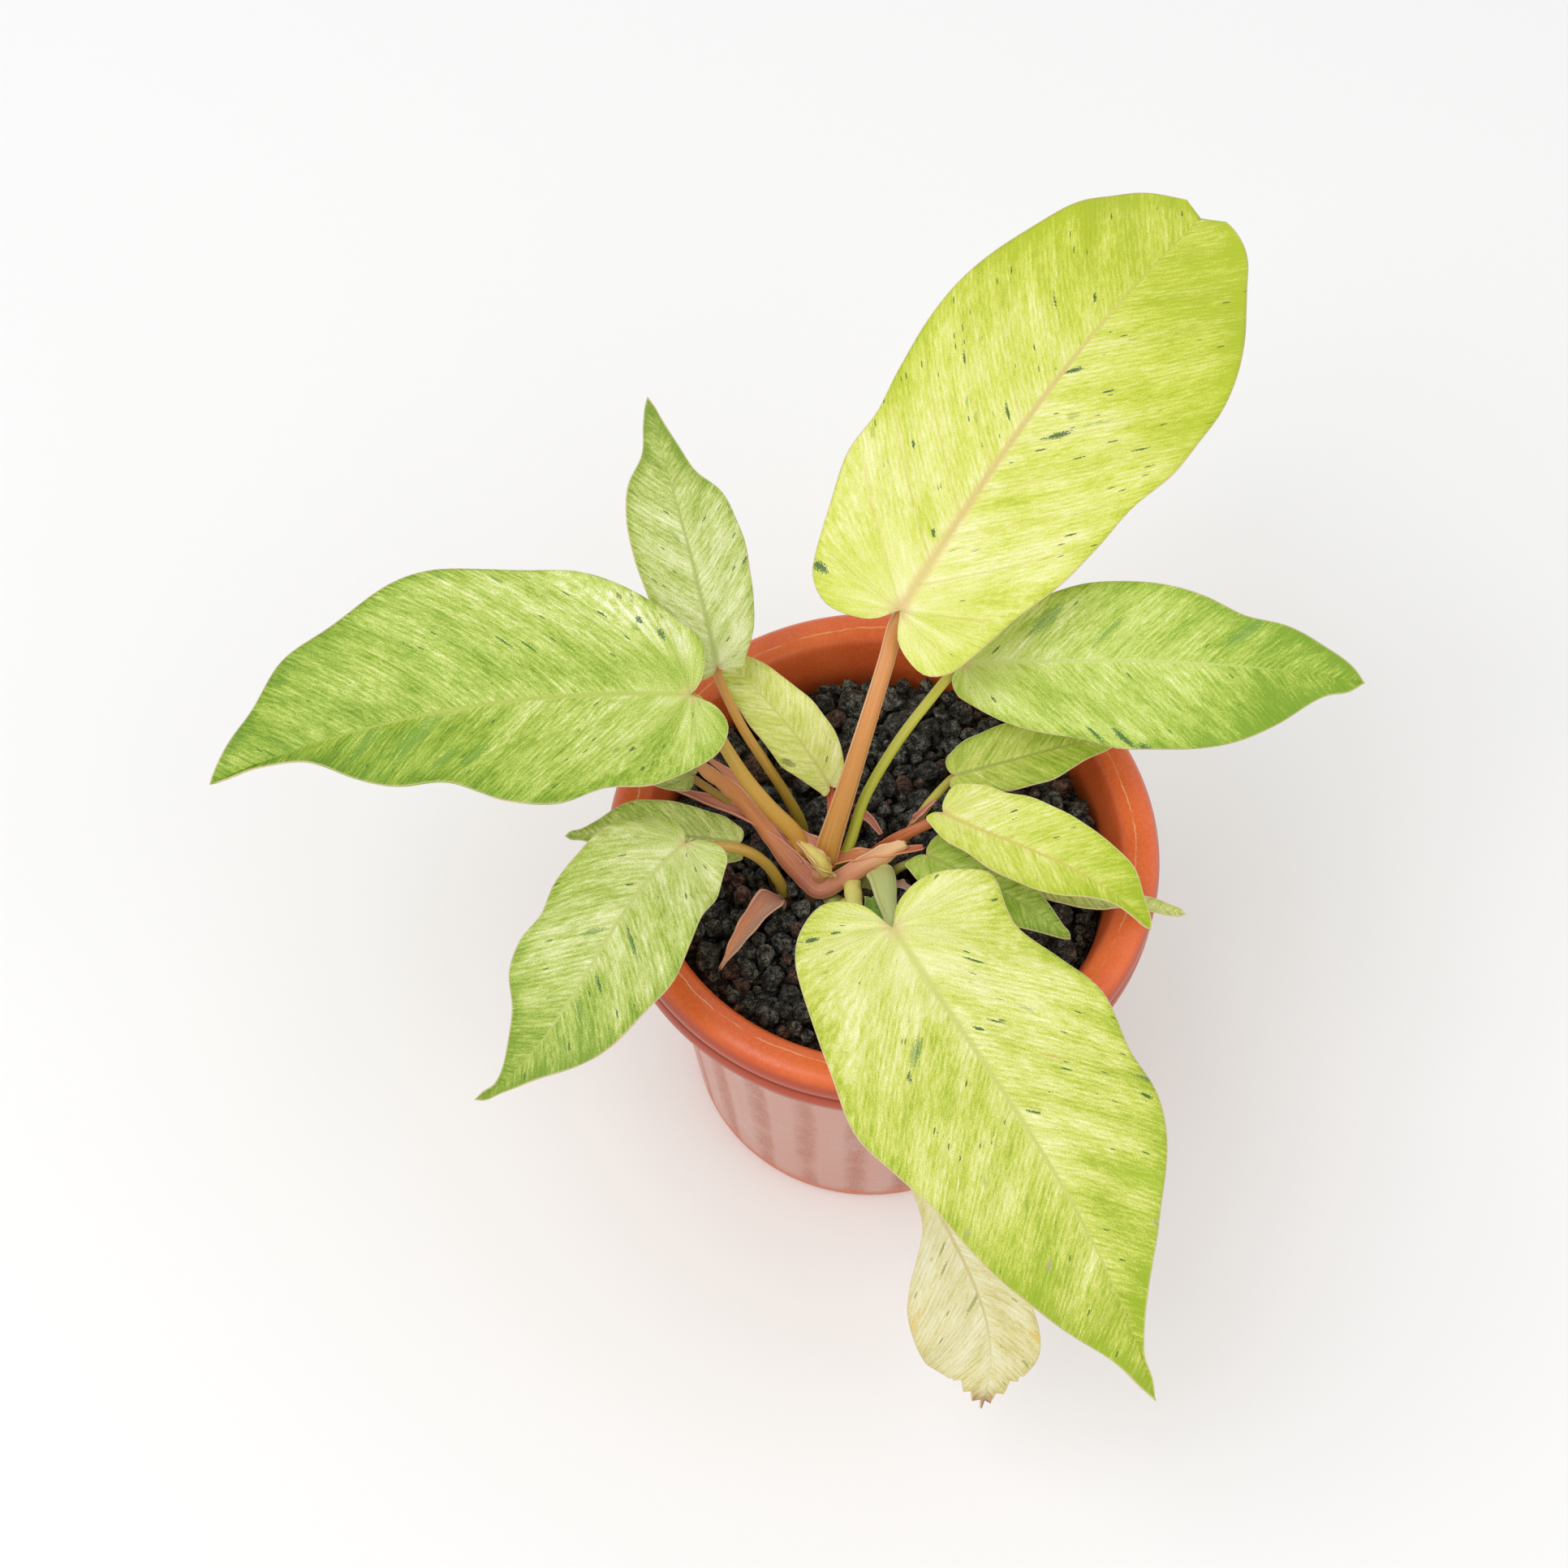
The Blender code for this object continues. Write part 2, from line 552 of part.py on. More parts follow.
def build():
    clear(bpy.data.objects)
    plant = collection("potted_philodendron")
    cutters = collection("cutters")
    scraps = collection("scraps")
    terracotta = material("terracotta_plastic", (0.62, 0.13, 0.05), 0.35)
    lava = material("lava_rock", (0.03, 0.028, 0.027), 0.9)
    stem_skin = material("stem_skin", (0.62, 0.32, 0.12), 0.5)
    petiole_skin = material("petiole_skin", (0.6, 0.4, 0.1), 0.45)
    green = material("leaf_green", (0.45, 0.55, 0.12), 0.4)
    lime = material("leaf_lime", (0.68, 0.71, 0.18), 0.4)
    cream = material("leaf_cream", (0.8, 0.73, 0.4), 0.45)
    skins = dict.fromkeys(LIME_LEAVES, lime) | dict.fromkeys(CREAM_LEAVES, cream)
    papery = material("papery_sheath", (0.7, 0.36, 0.24), 0.6)

    build_pot(plant, cutters, terracotta)
    medium = build_medium(plant, scraps, lava)
    stem = build_stem(plant, scraps, stem_skin)

    x, y = STEM_PLACE
    root = np.array([(x, y, ROOT_DEPTH - HOLE_GAP), (x, y, MEDIUM_TOP + 12)], float)
    fat = STEM_RADIUS + HOLE_GAP
    mesh_of(tube("stem_hole", root, (fat, fat), cutters, lava, sides=2), cutters, lava)
    for key, leaf in LEAVES.items():
        line = petiole_line(leaf)
        tube("petiole_" + key, line, leaf["radius"], plant, petiole_skin)
        line[0] -= unit(line[1] - line[0]) * HOLE_GAP
        wide = [r + HOLE_GAP for r in leaf["radius"]]
        mesh_of(tube("hole_" + key, line, wide, cutters, lava), cutters, lava)
        fan, rows, columns = (6, 13, 3) if key in LARGE_LEAVES else (3, 9, 2)
        mesh = blade_mesh("blade_" + key, leaf, fan, rows, columns)
        blade = place("blade_" + key, mesh, plant, skins.get(key, green))
        solidify(blade, BLADE_THICKNESS)
    for name, sheath in LOOSE_SHEATHS.items():
        trough(name, sheath, plant, papery)
        (x, y, z), *keel = sheath["keel"]
        keel = [(x, y, z - 2 * HOLE_GAP), *keel]
        grown = dict(sheath, keel=keel, half=[w + HOLE_GAP for w in sheath["half"]])
        hole = trough("hole_" + name, grown, cutters, lava)
        hole.modifiers["Thickness"].thickness += 3 * HOLE_GAP * MM
        apply_modifiers(hole)
    bpy.context.view_layer.update()
    boolean(medium, "DIFFERENCE", cutters)
    bpy.data.objects.remove(bpy.data.objects["stem_hole"], do_unlink=True)
    boolean(stem, "DIFFERENCE", cutters)
    clear(cutters.objects)


build()
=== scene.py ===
import bmesh
import bpy
import json
import math
import numpy as np
from mathutils import Matrix, Vector

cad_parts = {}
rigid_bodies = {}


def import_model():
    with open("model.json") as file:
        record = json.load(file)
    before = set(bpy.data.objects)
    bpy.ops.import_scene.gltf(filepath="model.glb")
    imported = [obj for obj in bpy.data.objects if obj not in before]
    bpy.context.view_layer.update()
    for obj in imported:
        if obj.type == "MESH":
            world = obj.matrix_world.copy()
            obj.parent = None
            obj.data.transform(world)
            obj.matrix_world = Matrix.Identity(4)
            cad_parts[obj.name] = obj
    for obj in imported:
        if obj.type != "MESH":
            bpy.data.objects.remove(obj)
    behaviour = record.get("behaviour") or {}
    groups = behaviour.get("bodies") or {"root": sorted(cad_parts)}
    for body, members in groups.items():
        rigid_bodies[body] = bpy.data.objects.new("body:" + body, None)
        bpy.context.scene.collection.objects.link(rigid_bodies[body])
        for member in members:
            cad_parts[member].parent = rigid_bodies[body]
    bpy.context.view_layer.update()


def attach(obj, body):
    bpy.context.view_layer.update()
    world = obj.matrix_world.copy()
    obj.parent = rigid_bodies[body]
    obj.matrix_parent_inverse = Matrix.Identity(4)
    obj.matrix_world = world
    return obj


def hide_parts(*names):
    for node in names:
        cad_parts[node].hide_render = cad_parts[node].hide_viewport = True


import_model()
mm = 0.001


def unit(vectors):
    return vectors / np.maximum(np.linalg.norm(vectors, axis=-1, keepdims=True), 1e-12)


# a smooth line through points: Catmull-Rom, each span a cubic of its four nearest points
def smoothLine(points, steps):
    points = np.array(points, float)
    ends = np.vstack([2 * points[0] - points[1], points, 2 * points[-1] - points[-2]])
    t = np.linspace(0, 1, steps, endpoint=False)[:, None]
    spans = [
        b + 0.5 * t * (c - a) + t**2 * (a - 2.5 * b + 2 * c - 0.5 * d) + t**3 * (1.5 * b - 0.5 * a - 1.5 * c + 0.5 * d)
        for a, b, c, d in zip(ends, ends[1:], ends[2:], ends[3:])
    ]
    return np.vstack([*spans, points[-1:]])


# the same line with its points spread evenly along it
def evenly(line, count):
    run = np.r_[0, np.cumsum(np.linalg.norm(np.diff(line, axis=0), axis=1))]
    wanted = np.linspace(0, run[-1], count)
    return np.stack([np.interp(wanted, run, line[:, i]) for i in range(line.shape[1])], 1)


def spread(values, count):
    return np.interp(np.linspace(0, 1, count), np.linspace(0, 1, len(values)), values)


# smooth noise over any array of points: a few sine waves in seeded directions
def ripple(points, size, seed, waves=7):
    draw = np.random.default_rng(seed)
    ways = unit(draw.normal(size=(waves, points.shape[-1]))) * draw.uniform(0.7, 1.6, (waves, 1))
    phase = draw.uniform(0, 6.28, waves)
    return np.sin(points @ ways.T * (6.28 / size) + phase).sum(-1) / math.sqrt(waves * 2)


def quads(rows, columns, closed=False):
    index = np.arange(rows * columns).reshape(rows, columns)
    if closed:
        index = np.hstack([index, index[:, :1]])
    return np.stack([index[:-1, :-1], index[:-1, 1:], index[1:, 1:], index[1:, :-1]], -1).reshape(-1, 4)


# a mesh from whole arrays: points, faces, and fields of three numbers a point
def makePiece(name, points, faces, materials, fields=None, weld=0.0, turnOut=False):
    mesh = bpy.data.meshes.new(name)
    points = np.asarray(points, np.float32).reshape(-1, 3)
    mesh.from_pydata(points.tolist(), [], faces.tolist() if isinstance(faces, np.ndarray) else faces)
    for field, values in (fields or {}).items():
        layer = mesh.attributes.new(field, "FLOAT_VECTOR", "POINT")
        layer.data.foreach_set("vector", np.asarray(values, np.float32).reshape(-1))
    if weld or turnOut:
        shape = bmesh.new()
        shape.from_mesh(mesh)
        if weld:
            bmesh.ops.remove_doubles(shape, verts=shape.verts, dist=weld)
            bmesh.ops.dissolve_degenerate(shape, edges=shape.edges, dist=weld)
        if turnOut:
            bmesh.ops.recalc_face_normals(shape, faces=shape.faces)
        shape.to_mesh(mesh)
        shape.free()
    mesh.shade_smooth()
    for material in materials:
        mesh.materials.append(material)
    piece = bpy.data.objects.new(name, mesh)
    bpy.context.scene.collection.objects.link(piece)
    return piece


def thicken(piece, thickness, under=0, rim=0):
    shell = piece.modifiers.new("Thickness", "SOLIDIFY")
    shell.thickness = thickness * mm
    shell.offset = 0
    shell.material_offset = under
    shell.material_offset_rim = rim
    return piece


def finishPiece(piece, slot, *nodes):
    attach(piece, "root")
    if nodes:
        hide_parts(*nodes)
    return piece


# a value or colour in a material; the usual signs between two of them add Math nodes
class Wire:
    def __init__(self, paint, socket):
        self.paint = paint
        self.socket = socket

    def __add__(self, other):
        return self.paint.math("ADD", self, other)

    def __sub__(self, other):
        return self.paint.math("SUBTRACT", self, other)

    def __rsub__(self, other):
        return self.paint.math("SUBTRACT", other, self)

    def __mul__(self, other):
        return self.paint.math("MULTIPLY", self, other)

    def __truediv__(self, other):
        return self.paint.math("DIVIDE", self, other)

    def __pow__(self, power):
        return self * self if power == 2 else self.paint.math("POWER", self, power)

    __radd__ = __add__
    __rmul__ = __mul__


class Paint:
    def __init__(self, name, **fixed):
        self.material = bpy.data.materials.new(name)
        self.material.use_nodes = True
        self.tree = self.material.node_tree
        self.shader = self.tree.nodes["Principled BSDF"]
        for socket, value in fixed.items():
            self.shader.inputs[socket.replace("_", " ")].default_value = value

    # any node: its type, its settings, then the values or links of its sockets
    def node(self, kind, settings=None, inputs=None, output=0):
        made = self.tree.nodes.new(kind)
        for key, value in (settings or {}).items():
            if key == "stops":
                ramp = made.color_ramp
                while len(ramp.elements) < len(value):
                    ramp.elements.new(0.5)
                for element, (at, colour) in zip(ramp.elements, value):
                    element.position = at
                    element.color = (*colour, 1)
            else:
                setattr(made, key, value)
        for key, value in (inputs or {}).items():
            if isinstance(value, Wire):
                self.tree.links.new(value.socket, made.inputs[key])
            else:
                made.inputs[key].default_value = value
        return Wire(self, made.outputs[output])

    def math(self, operation, *values):
        return self.node("ShaderNodeMath", {"operation": operation}, dict(enumerate(values)))

    def feed(self, socket, wire):
        self.tree.links.new(wire.socket, self.shader.inputs[socket])

    def place(self):
        return self.node("ShaderNodeTexCoord", output="Object")

    def field(self, name):
        return self.node("ShaderNodeAttribute", {"attribute_name": name}, output="Vector")

    def parts(self, vector):
        made = self.node("ShaderNodeSeparateXYZ", {}, {0: vector})
        outputs = made.socket.node.outputs
        return [Wire(self, outputs[i]) for i in range(3)]

    def vector(self, x, y, z):
        return self.node("ShaderNodeCombineXYZ", {}, {0: x, 1: y, 2: z})

    def noise(self, vector, scale, detail=2.0, roughness=0.5, distortion=0.0):
        return self.node("ShaderNodeTexNoise", {}, {
            "Vector": vector, "Scale": scale, "Detail": detail, "Roughness": roughness, "Distortion": distortion})

    def cells(self, vector, scale, feature="F1", output="Distance"):
        return self.node("ShaderNodeTexVoronoi", {"feature": feature}, {"Vector": vector, "Scale": scale}, output)

    # 0 below low, 1 above high, an S between; low may be the larger
    def step(self, wire, low, high):
        return self.node("ShaderNodeMapRange", {"interpolation_type": "SMOOTHSTEP"}, {0: wire, 1: low, 2: high})

    def mix(self, factor, a, b, blend="MIX"):
        inputs = {0: factor}
        for index, colour in ((6, a), (7, b)):
            inputs[index] = colour if isinstance(colour, Wire) else (*colour, 1)
        return self.node("ShaderNodeMix", {"data_type": "RGBA", "blend_type": blend}, inputs, 2)

    def bump(self, height, distance, strength=1.0, normal=None):
        inputs = {"Height": height, "Distance": distance, "Strength": strength}
        if normal:
            inputs["Normal"] = normal
        return self.node("ShaderNodeBump", {}, inputs)


# a colour as it shows on screen, out of 255, made linear
def screen(r, g, b):
    share = np.array([r, g, b]) / 255
    return tuple(np.where(share <= 0.04045, share / 12.92, ((share + 0.055) / 1.055) ** 2.4).tolist())


stageSettings = dict(floorColour=(0.93, 0.93, 0.93), world=0.75, key=15.0, fill=4.5)


def buildStage():
    paint = Paint("studioFloor", Roughness=0.9)
    paint.shader.inputs["Base Color"].default_value = (*stageSettings["floorColour"], 1)
    reach = 6.0
    corners = [(-reach, -reach, 0), (reach, -reach, 0), (reach, reach, 0), (-reach, reach, 0)]
    floor = makePiece("studioFloor", corners, [(0, 1, 2, 3)], [paint.material])
    world = bpy.data.worlds.new("studioWorld")
    world.use_nodes = True
    world.node_tree.nodes["Background"].inputs[0].default_value = (1, 1, 1, 1)
    world.node_tree.nodes["Background"].inputs[1].default_value = stageSettings["world"]
    bpy.context.scene.world = world
    for name, power, size, spot in (
        ("keyLight", stageSettings["key"], 1.6, (-0.9, -0.5, 1.9)),
        ("fillLight", stageSettings["fill"], 1.4, (1.2, -0.6, 1.5)),
    ):
        light = bpy.data.lights.new(name, "AREA")
        light.shape = "DISK"
        light.size = size
        light.energy = power
        lamp = bpy.data.objects.new(name, light)
        lamp.location = spot
        lamp.rotation_euler = (Vector((0, 0, 0.15)) - Vector(spot)).to_track_quat("-Z", "Y").to_euler()
        bpy.context.scene.collection.objects.link(lamp)


cameraSettings = dict(spot=(0, -0.4802, 1.0212), aim=(-0.0343, 0.0215, 0.144), roll=1.4, lens=70.38)


def buildCamera():
    data = bpy.data.cameras.new("photoCamera")
    data.lens = cameraSettings["lens"]
    data.sensor_width = 36
    camera = bpy.data.objects.new("photoCamera", data)
    spot = Vector(cameraSettings["spot"])
    turn = (Vector(cameraSettings["aim"]) - spot).to_track_quat("-Z", "Y").to_matrix().to_4x4()
    camera.matrix_world = Matrix.Translation(spot) @ turn @ Matrix.Rotation(math.radians(cameraSettings["roll"]), 4, "Z")
    bpy.context.scene.collection.objects.link(camera)
    bpy.context.scene.camera = camera
    bpy.context.scene.view_settings.view_transform = "Standard"


buildCamera()
buildStage()
print("stage done")


potSettings = dict(
    rimRadius=90.0, height=151.0, wallTop=77.6, base=62.5, wall=3.0, floorTop=4.5, skirt=134.5,
    flutes=24, fluteDepth=0.9, around=384, drainHoles=6, drainRadius=4.5, drainCircle=37.0,
)


def paintPot():
    paint = Paint("terracottaPlastic", Coat_Roughness=0.3, Specular_IOR_Level=0.45)
    place = paint.place()
    x, y, z = paint.parts(place)
    grain = paint.noise(place, 900, 3, 0.7)
    cloud = paint.noise(place, 28, 3, 0.6)
    colour = paint.mix(paint.step(cloud, 0.35, 0.7), screen(226, 98, 47), screen(238, 112, 58))
    colour = paint.mix(paint.step(grain, 0.4, 0.75) * 0.25, colour, screen(252, 156, 102))
    # painted shade: the rim's outer face below the crest is painted darker, and the groove above the bead and the lower
    # lip darker still, where the light doesn't reach
    band = paint.step(z, 0.1503, 0.1468)
    lipAndGrooveShade = paint.step(z, 0.1366, 0.1352) + paint.step(z, 0.1432, 0.1412) * paint.step(z, 0.1396, 0.1408) * 0.8
    # the wall below the rim is dusty, and each flute's hollow is painted darker, as painted shade
    flute = paint.math("COSINE", paint.math("ARCTAN2", y, x) * potSettings["flutes"])
    dust = paint.noise(place, 90, 4, 0.7)
    # painted shade: darker where each flute's hollow is deepest, with dust noise over it
    dustAndFluteShade = paint.mix(paint.step(flute + (dust - 0.5) * 2.2 + (cloud - 0.5) * 1.5, -0.3, 1.5), screen(210, 163, 150), screen(186, 126, 108))
    dustAndFluteShade = paint.mix(paint.step(cloud + (grain - 0.5) * 0.5, 0.5, 0.72) * 0.5, dustAndFluteShade, screen(214, 182, 174))
    dustAndFluteShade = paint.mix(paint.step(z + (dust - 0.5) * 0.006, 0.009, 0.003) * 0.8, dustAndFluteShade, screen(214, 122, 94))
    dustAndFluteShade = paint.mix(paint.step(grain, 0.45, 0.8) * 0.4, dustAndFluteShade, screen(220, 180, 166))
    below = paint.step(z, (potSettings["skirt"] + 3) * mm, (potSettings["skirt"] - 1) * mm)
    radius = paint.node("ShaderNodeVectorMath", {"operation": "LENGTH"}, {0: paint.vector(x, y, 0.0)}, 1)
    outer = paint.step(radius - z * 0.108, 0.0605, 0.0615)
    faced = paint.step(radius, 0.0828, 0.087)
    # painted shade on the rim's outer band, then on its groove and lower lip
    colour = paint.mix(band * faced * 0.9, colour, screen(172, 62, 30))
    colour = paint.mix(lipAndGrooveShade * faced * 0.85, colour, screen(116, 38, 24))
    colour = paint.mix(below * outer, colour, dustAndFluteShade)
    # a pale broken scratch round the crest of the rim
    wander = paint.noise(place, 60, 3, 0.6) * 0.0022 + paint.noise(place, 700, 2, 0.6) * 0.0008
    line = paint.math("ABSOLUTE", radius + wander - 0.0831)
    broken = paint.step(paint.noise(place, 45, 3, 0.7), 0.42, 0.55)
    scratch = paint.step(line, 0.00032, 0.00012) * paint.step(z, 0.1485, 0.1495) * broken
    colour = paint.mix(scratch * 0.75, colour, screen(240, 180, 140))
    specks = paint.step(paint.cells(place, 130), 0.055, 0.03)
    colour = paint.mix(specks * 0.5, colour, screen(110, 45, 25))
    paint.feed("Base Color", colour)
    paint.feed("Roughness", 0.24 + cloud * 0.12 + below * outer * 0.38)
    paint.feed("Normal", paint.bump(grain + cloud * 2, 0.0001, 0.25))
    return paint.material


# the pot is turned: radius = profile(row), pulled in by a cosine of the angle on the fluted wall
def buildPot():
    p = potSettings
    inner = lambda z: p["base"] - p["wall"] + (p["wallTop"] - p["base"]) / (p["height"] - 11) * z
    rim = p["rimRadius"]
    crest = smoothLine([
        (inner(138), 138), (inner(142) + 0.4, 142), (rim - 13.6, 146.5), (rim - 12.4, 149), (rim - 10.5, 150.3),
        (rim - 6.5, 151), (rim - 3, 150.3), (rim - 0.9, 148.3), (rim, 145.4), (rim - 0.4, 142.6),
        (rim - 1.2, 140.9), (rim - 0.5, 139.6), (rim, 137.4), (rim - 0.2, 135.2), (rim - 0.8, 134.5)], 5)
    under = smoothLine([(rim - 1.9, 134.6), (rim - 3.2, 138), (rim - 6, 142), (rim - 10.5, 142.6), (p["wallTop"], 140)], 4)
    foot = smoothLine([(p["base"], 3.2), (p["base"] - 0.4, 1.2), (p["base"] - 1.5, 0), (p["base"] - 3, 0)], 3)
    wall = np.array([(p["wallTop"] + (p["base"] - p["wallTop"]) * s, 140 + (3.2 - 140) * s) for s in np.linspace(0, 1, 26)[1:-1]])
    ledge = np.array([(54.0, 0), (53.6, 0.3), (52.4, 1.8), (51.8, 2.0), (24.2, 2.0), (23.6, 1.8), (22.4, 0.2), (22, 0), (8, 0)])
    side = np.array([(inner(z), z) for z in np.linspace(p["floorTop"], 136, 12)])
    profile = np.vstack([[(8, p["floorTop"])], side, crest, under, wall, foot, ledge])
    radius, height = profile[:, :1], profile[:, 1:]
    angle = np.linspace(0, 2 * math.pi, p["around"], endpoint=False)[None]
    onWall = np.zeros(len(profile))
    first = 1 + len(side) + len(crest) + len(under)
    onWall[first:first + len(wall)] = np.sin(np.linspace(0.35, math.pi - 0.35, len(wall))) ** 0.3
    groove = np.clip(np.cos(angle * p["flutes"]), 0, 1) ** 0.6
    r = radius - p["fluteDepth"] * onWall[:, None] * groove
    points = np.stack([r * np.cos(angle), r * np.sin(angle), height + 0 * angle], -1) * mm
    rows = len(profile)
    ends = np.array([[0, 0, p["floorTop"]], [0, 0, 0]]) * mm
    faces = quads(rows, p["around"], True).tolist()
    last = rows * p["around"]
    faces += [(i, last, (i + 1) % p["around"]) for i in range(p["around"])]
    bottom = last - p["around"]
    faces += [(bottom + i, bottom + (i + 1) % p["around"], last + 1) for i in range(p["around"])]
    pot = makePiece("pot_shell", np.vstack([points.reshape(-1, 3), ends]), faces, [paintPot()], turnOut=True)
    cutters = bpy.data.collections.new("cutters")
    bpy.context.scene.collection.children.link(cutters)
    for i in range(p["drainHoles"]):
        turn = 2 * math.pi * (i + 0.5) / p["drainHoles"]
        shape = bmesh.new()
        spot = Matrix.Translation((p["drainCircle"] * mm * math.cos(turn), p["drainCircle"] * mm * math.sin(turn), 3 * mm))
        size = p["drainRadius"] * mm
        bmesh.ops.create_cone(shape, cap_ends=True, segments=32, radius1=size, radius2=size, depth=12 * mm, matrix=spot)
        mesh = bpy.data.meshes.new("drainCutter")
        shape.to_mesh(mesh)
        shape.free()
        cutters.objects.link(bpy.data.objects.new("drainCutter", mesh))
    cut = pot.modifiers.new("Drains", "BOOLEAN")
    cut.operand_type = "COLLECTION"
    cut.collection = cutters
    graph = bpy.context.evaluated_depsgraph_get()
    drilled = bpy.data.meshes.new_from_object(pot.evaluated_get(graph))
    pot.modifiers.clear()
    pot.data = drilled
    for cutter in list(cutters.objects):
        bpy.data.objects.remove(cutter, do_unlink=True)
    bpy.data.collections.remove(cutters)
    pot.data.set_sharp_from_angle(angle=math.radians(40))
    return finishPiece(pot, "terracotta_plastic", "pot")


buildPot()
print("pot done")


rockSettings = dict(
    top=137.0, reach=69.0, seed=5, brown=0.2,
    layers=[(420, 3.8, 6.4, 1.0, -11.0), (260, 2.4, 3.6, 1.0, -6.0), (300, 1.3, 2.2, 0.4, -7.0)],
    collar=[(-25, -21, 138.6, 3.4), (-17, -22.5, 138.2, 3.2), (-28.5, -15, 139.4, 2.4), (-12.5, -21.5, 137.6, 2.4)],
)


def paintRock(name, dark, mid, light):
    paint = Paint(name, Specular_IOR_Level=0.4)
    place = paint.place()
    crag = paint.noise(place, 460, 5, 0.74, 0.5)
    grit = paint.noise(place, 2300, 3, 0.8)
    pores = paint.cells(place, 850)
    patch = paint.noise(place, 95, 2, 0.6)
    ridge = paint.math("ABSOLUTE", crag - 0.5)
    colour = paint.mix(paint.step(crag + (grit - 0.5) * 0.5, 0.38, 0.6), dark, mid)
    colour = paint.mix(paint.step(grit * 0.6 + crag * 0.5, 0.57, 0.7) * 0.9, colour, light)
    colour = paint.mix(paint.step(patch, 0.45, 0.66) * 0.6, colour, dark)
    # painted shade: the pits of the pores are painted darker
    colour = paint.mix(paint.step(pores, 0.26, 0.1) * 0.8, colour, dark)
    paint.feed("Base Color", colour)
    paint.feed("Roughness", 0.4 + grit * 0.5)
    height = crag * 2.2 - ridge * 3 + grit * 0.5 + paint.step(pores, 0.08, 0.4) * 0.6
    paint.feed("Normal", paint.bump(height, 0.002, 1.0))
    return paint.material


# each rock is a ball of 42 points, its radius pushed in and out by waves of its own
def ballPoints():
    shape = bmesh.new()
    bmesh.ops.create_icosphere(shape, subdivisions=2, radius=1)
    points = np.array([v.co for v in shape.verts])
    faces = np.array([[v.index for v in f.verts] for f in shape.faces])
    shape.free()
    return points, faces


def buildRocks():
    r = rockSettings
    draw = np.random.default_rng(r["seed"])
    ball, ballFaces = ballPoints()
    collar = np.array(r["collar"])  # rocks heaped against the stem
    spots, sizes = collar[:, :3], collar[:, 3]
    for count, small, large, high, low in r["layers"]:
        placed, tries = 0, 0
        while placed < count and tries < 14000:
            tries += 1
            size = draw.uniform(small, large)
            reach, turn = (r["reach"] + 3.5 - size) * math.sqrt(draw.random()), draw.uniform(0, 2 * math.pi)
            height = r["top"] - 0.35 * size + draw.uniform(low, high)
            spot = np.array([reach * math.cos(turn), reach * math.sin(turn), height])
            if len(spots) and (np.linalg.norm(spots - spot, axis=1) < (sizes + size) * 0.82).any():
                continue
            spots, sizes = np.vstack([spots, spot]), np.r_[sizes, size]
            placed += 1
    print(len(spots), "rocks")
    groups = {"charcoal": ([], []), "brown": ([], [])}
    for i, (spot, size) in enumerate(zip(spots, sizes)):
        points, faces = groups["brown" if draw.random() < r["brown"] else "charcoal"]
        stretch = draw.uniform(0.75, 1.25, 3)
        turned = np.linalg.qr(draw.normal(size=(3, 3)))[0]
        turned *= np.sign(np.linalg.det(turned))
        shaped = ball * (1.06 + 0.2 * ripple(ball, 1.2, 100 + i) + draw.uniform(-0.13, 0.13, len(ball)))[:, None]
        for way in unit(draw.normal(size=(8, 3))):
            over = np.maximum(shaped @ way - draw.uniform(0.6, 0.85), 0)
            shaped = shaped - over[:, None] * way * 0.92
        faces.append(ballFaces + len(ball) * len(points))
        points.append(((shaped * stretch) @ turned.T * size + spot) * mm)
    charcoal = paintRock("lavaCharcoal", screen(36, 36, 34), screen(122, 122, 116), screen(204, 204, 194))
    brown = paintRock("lavaBrown", screen(66, 46, 38), screen(148, 112, 98), screen(206, 176, 160))
    for (name, (points, faces)), paint in zip(groups.items(), (charcoal, brown)):
        rocks = makePiece("rocks_" + name, np.vstack(points), np.vstack(faces), [paint])
        rocks.data.set_sharp_from_angle(angle=math.radians(24))
        finishPiece(rocks, "lava_rock")
    return charcoal


# the filling below the rocks: a turned core whose top is lumpy
def buildCore(paint):
    p = potSettings
    inner = lambda z: p["base"] - p["wall"] - 0.4 + (p["wallTop"] - p["base"]) / (p["height"] - 11) * z
    low = p["floorTop"] + 0.4
    rings = np.linspace(0, 1, 30)[1:]
    top = [(inner(128) * s, 128) for s in rings]
    side = [(inner(z), z) for z in np.linspace(128, low, 10)[1:]]
    base = [(inner(low) * s, low) for s in np.linspace(1, 0, 6)[1:-1]]
    profile = np.array(top + side + base)
    angle = np.linspace(0, 2 * math.pi, 96, endpoint=False)[None]
    points = np.stack([profile[:, :1] * np.cos(angle), profile[:, :1] * np.sin(angle), profile[:, 1:] + 0 * angle], -1)
    lumps = 2.2 * ripple(points[..., :2], 17, 3) + 1.0 * ripple(points[..., :2], 7, 4)
    fade = np.clip(np.r_[np.ones(len(rings) - 2), 0.5, np.zeros(len(profile) - len(rings) + 1)], 0, 1)
    points[..., 2] += lumps * fade[:, None]
    ends = np.array([[0, 0, 128.0], [0, 0, low]])
    count = 96
    last = len(profile) * count
    faces = quads(len(profile), count, True).tolist()
    faces += [(i, last, (i + 1) % count) for i in range(count)]
    faces += [(last - count + i, last - count + (i + 1) % count, last + 1) for i in range(count)]
    core = makePiece("medium_core", np.vstack([points.reshape(-1, 3), ends]) * mm, faces, [paint], turnOut=True)
    return finishPiece(core, "lava_rock", "medium")


buildCore(buildRocks())
print("rocks done")


stations = (0.0, 0.1, 0.2, 0.3, 0.4, 0.5, 0.6, 0.7, 0.8, 0.9, 0.96)
joint = dict(blade=0.8, gap=0.6, ribSlant=0.45)

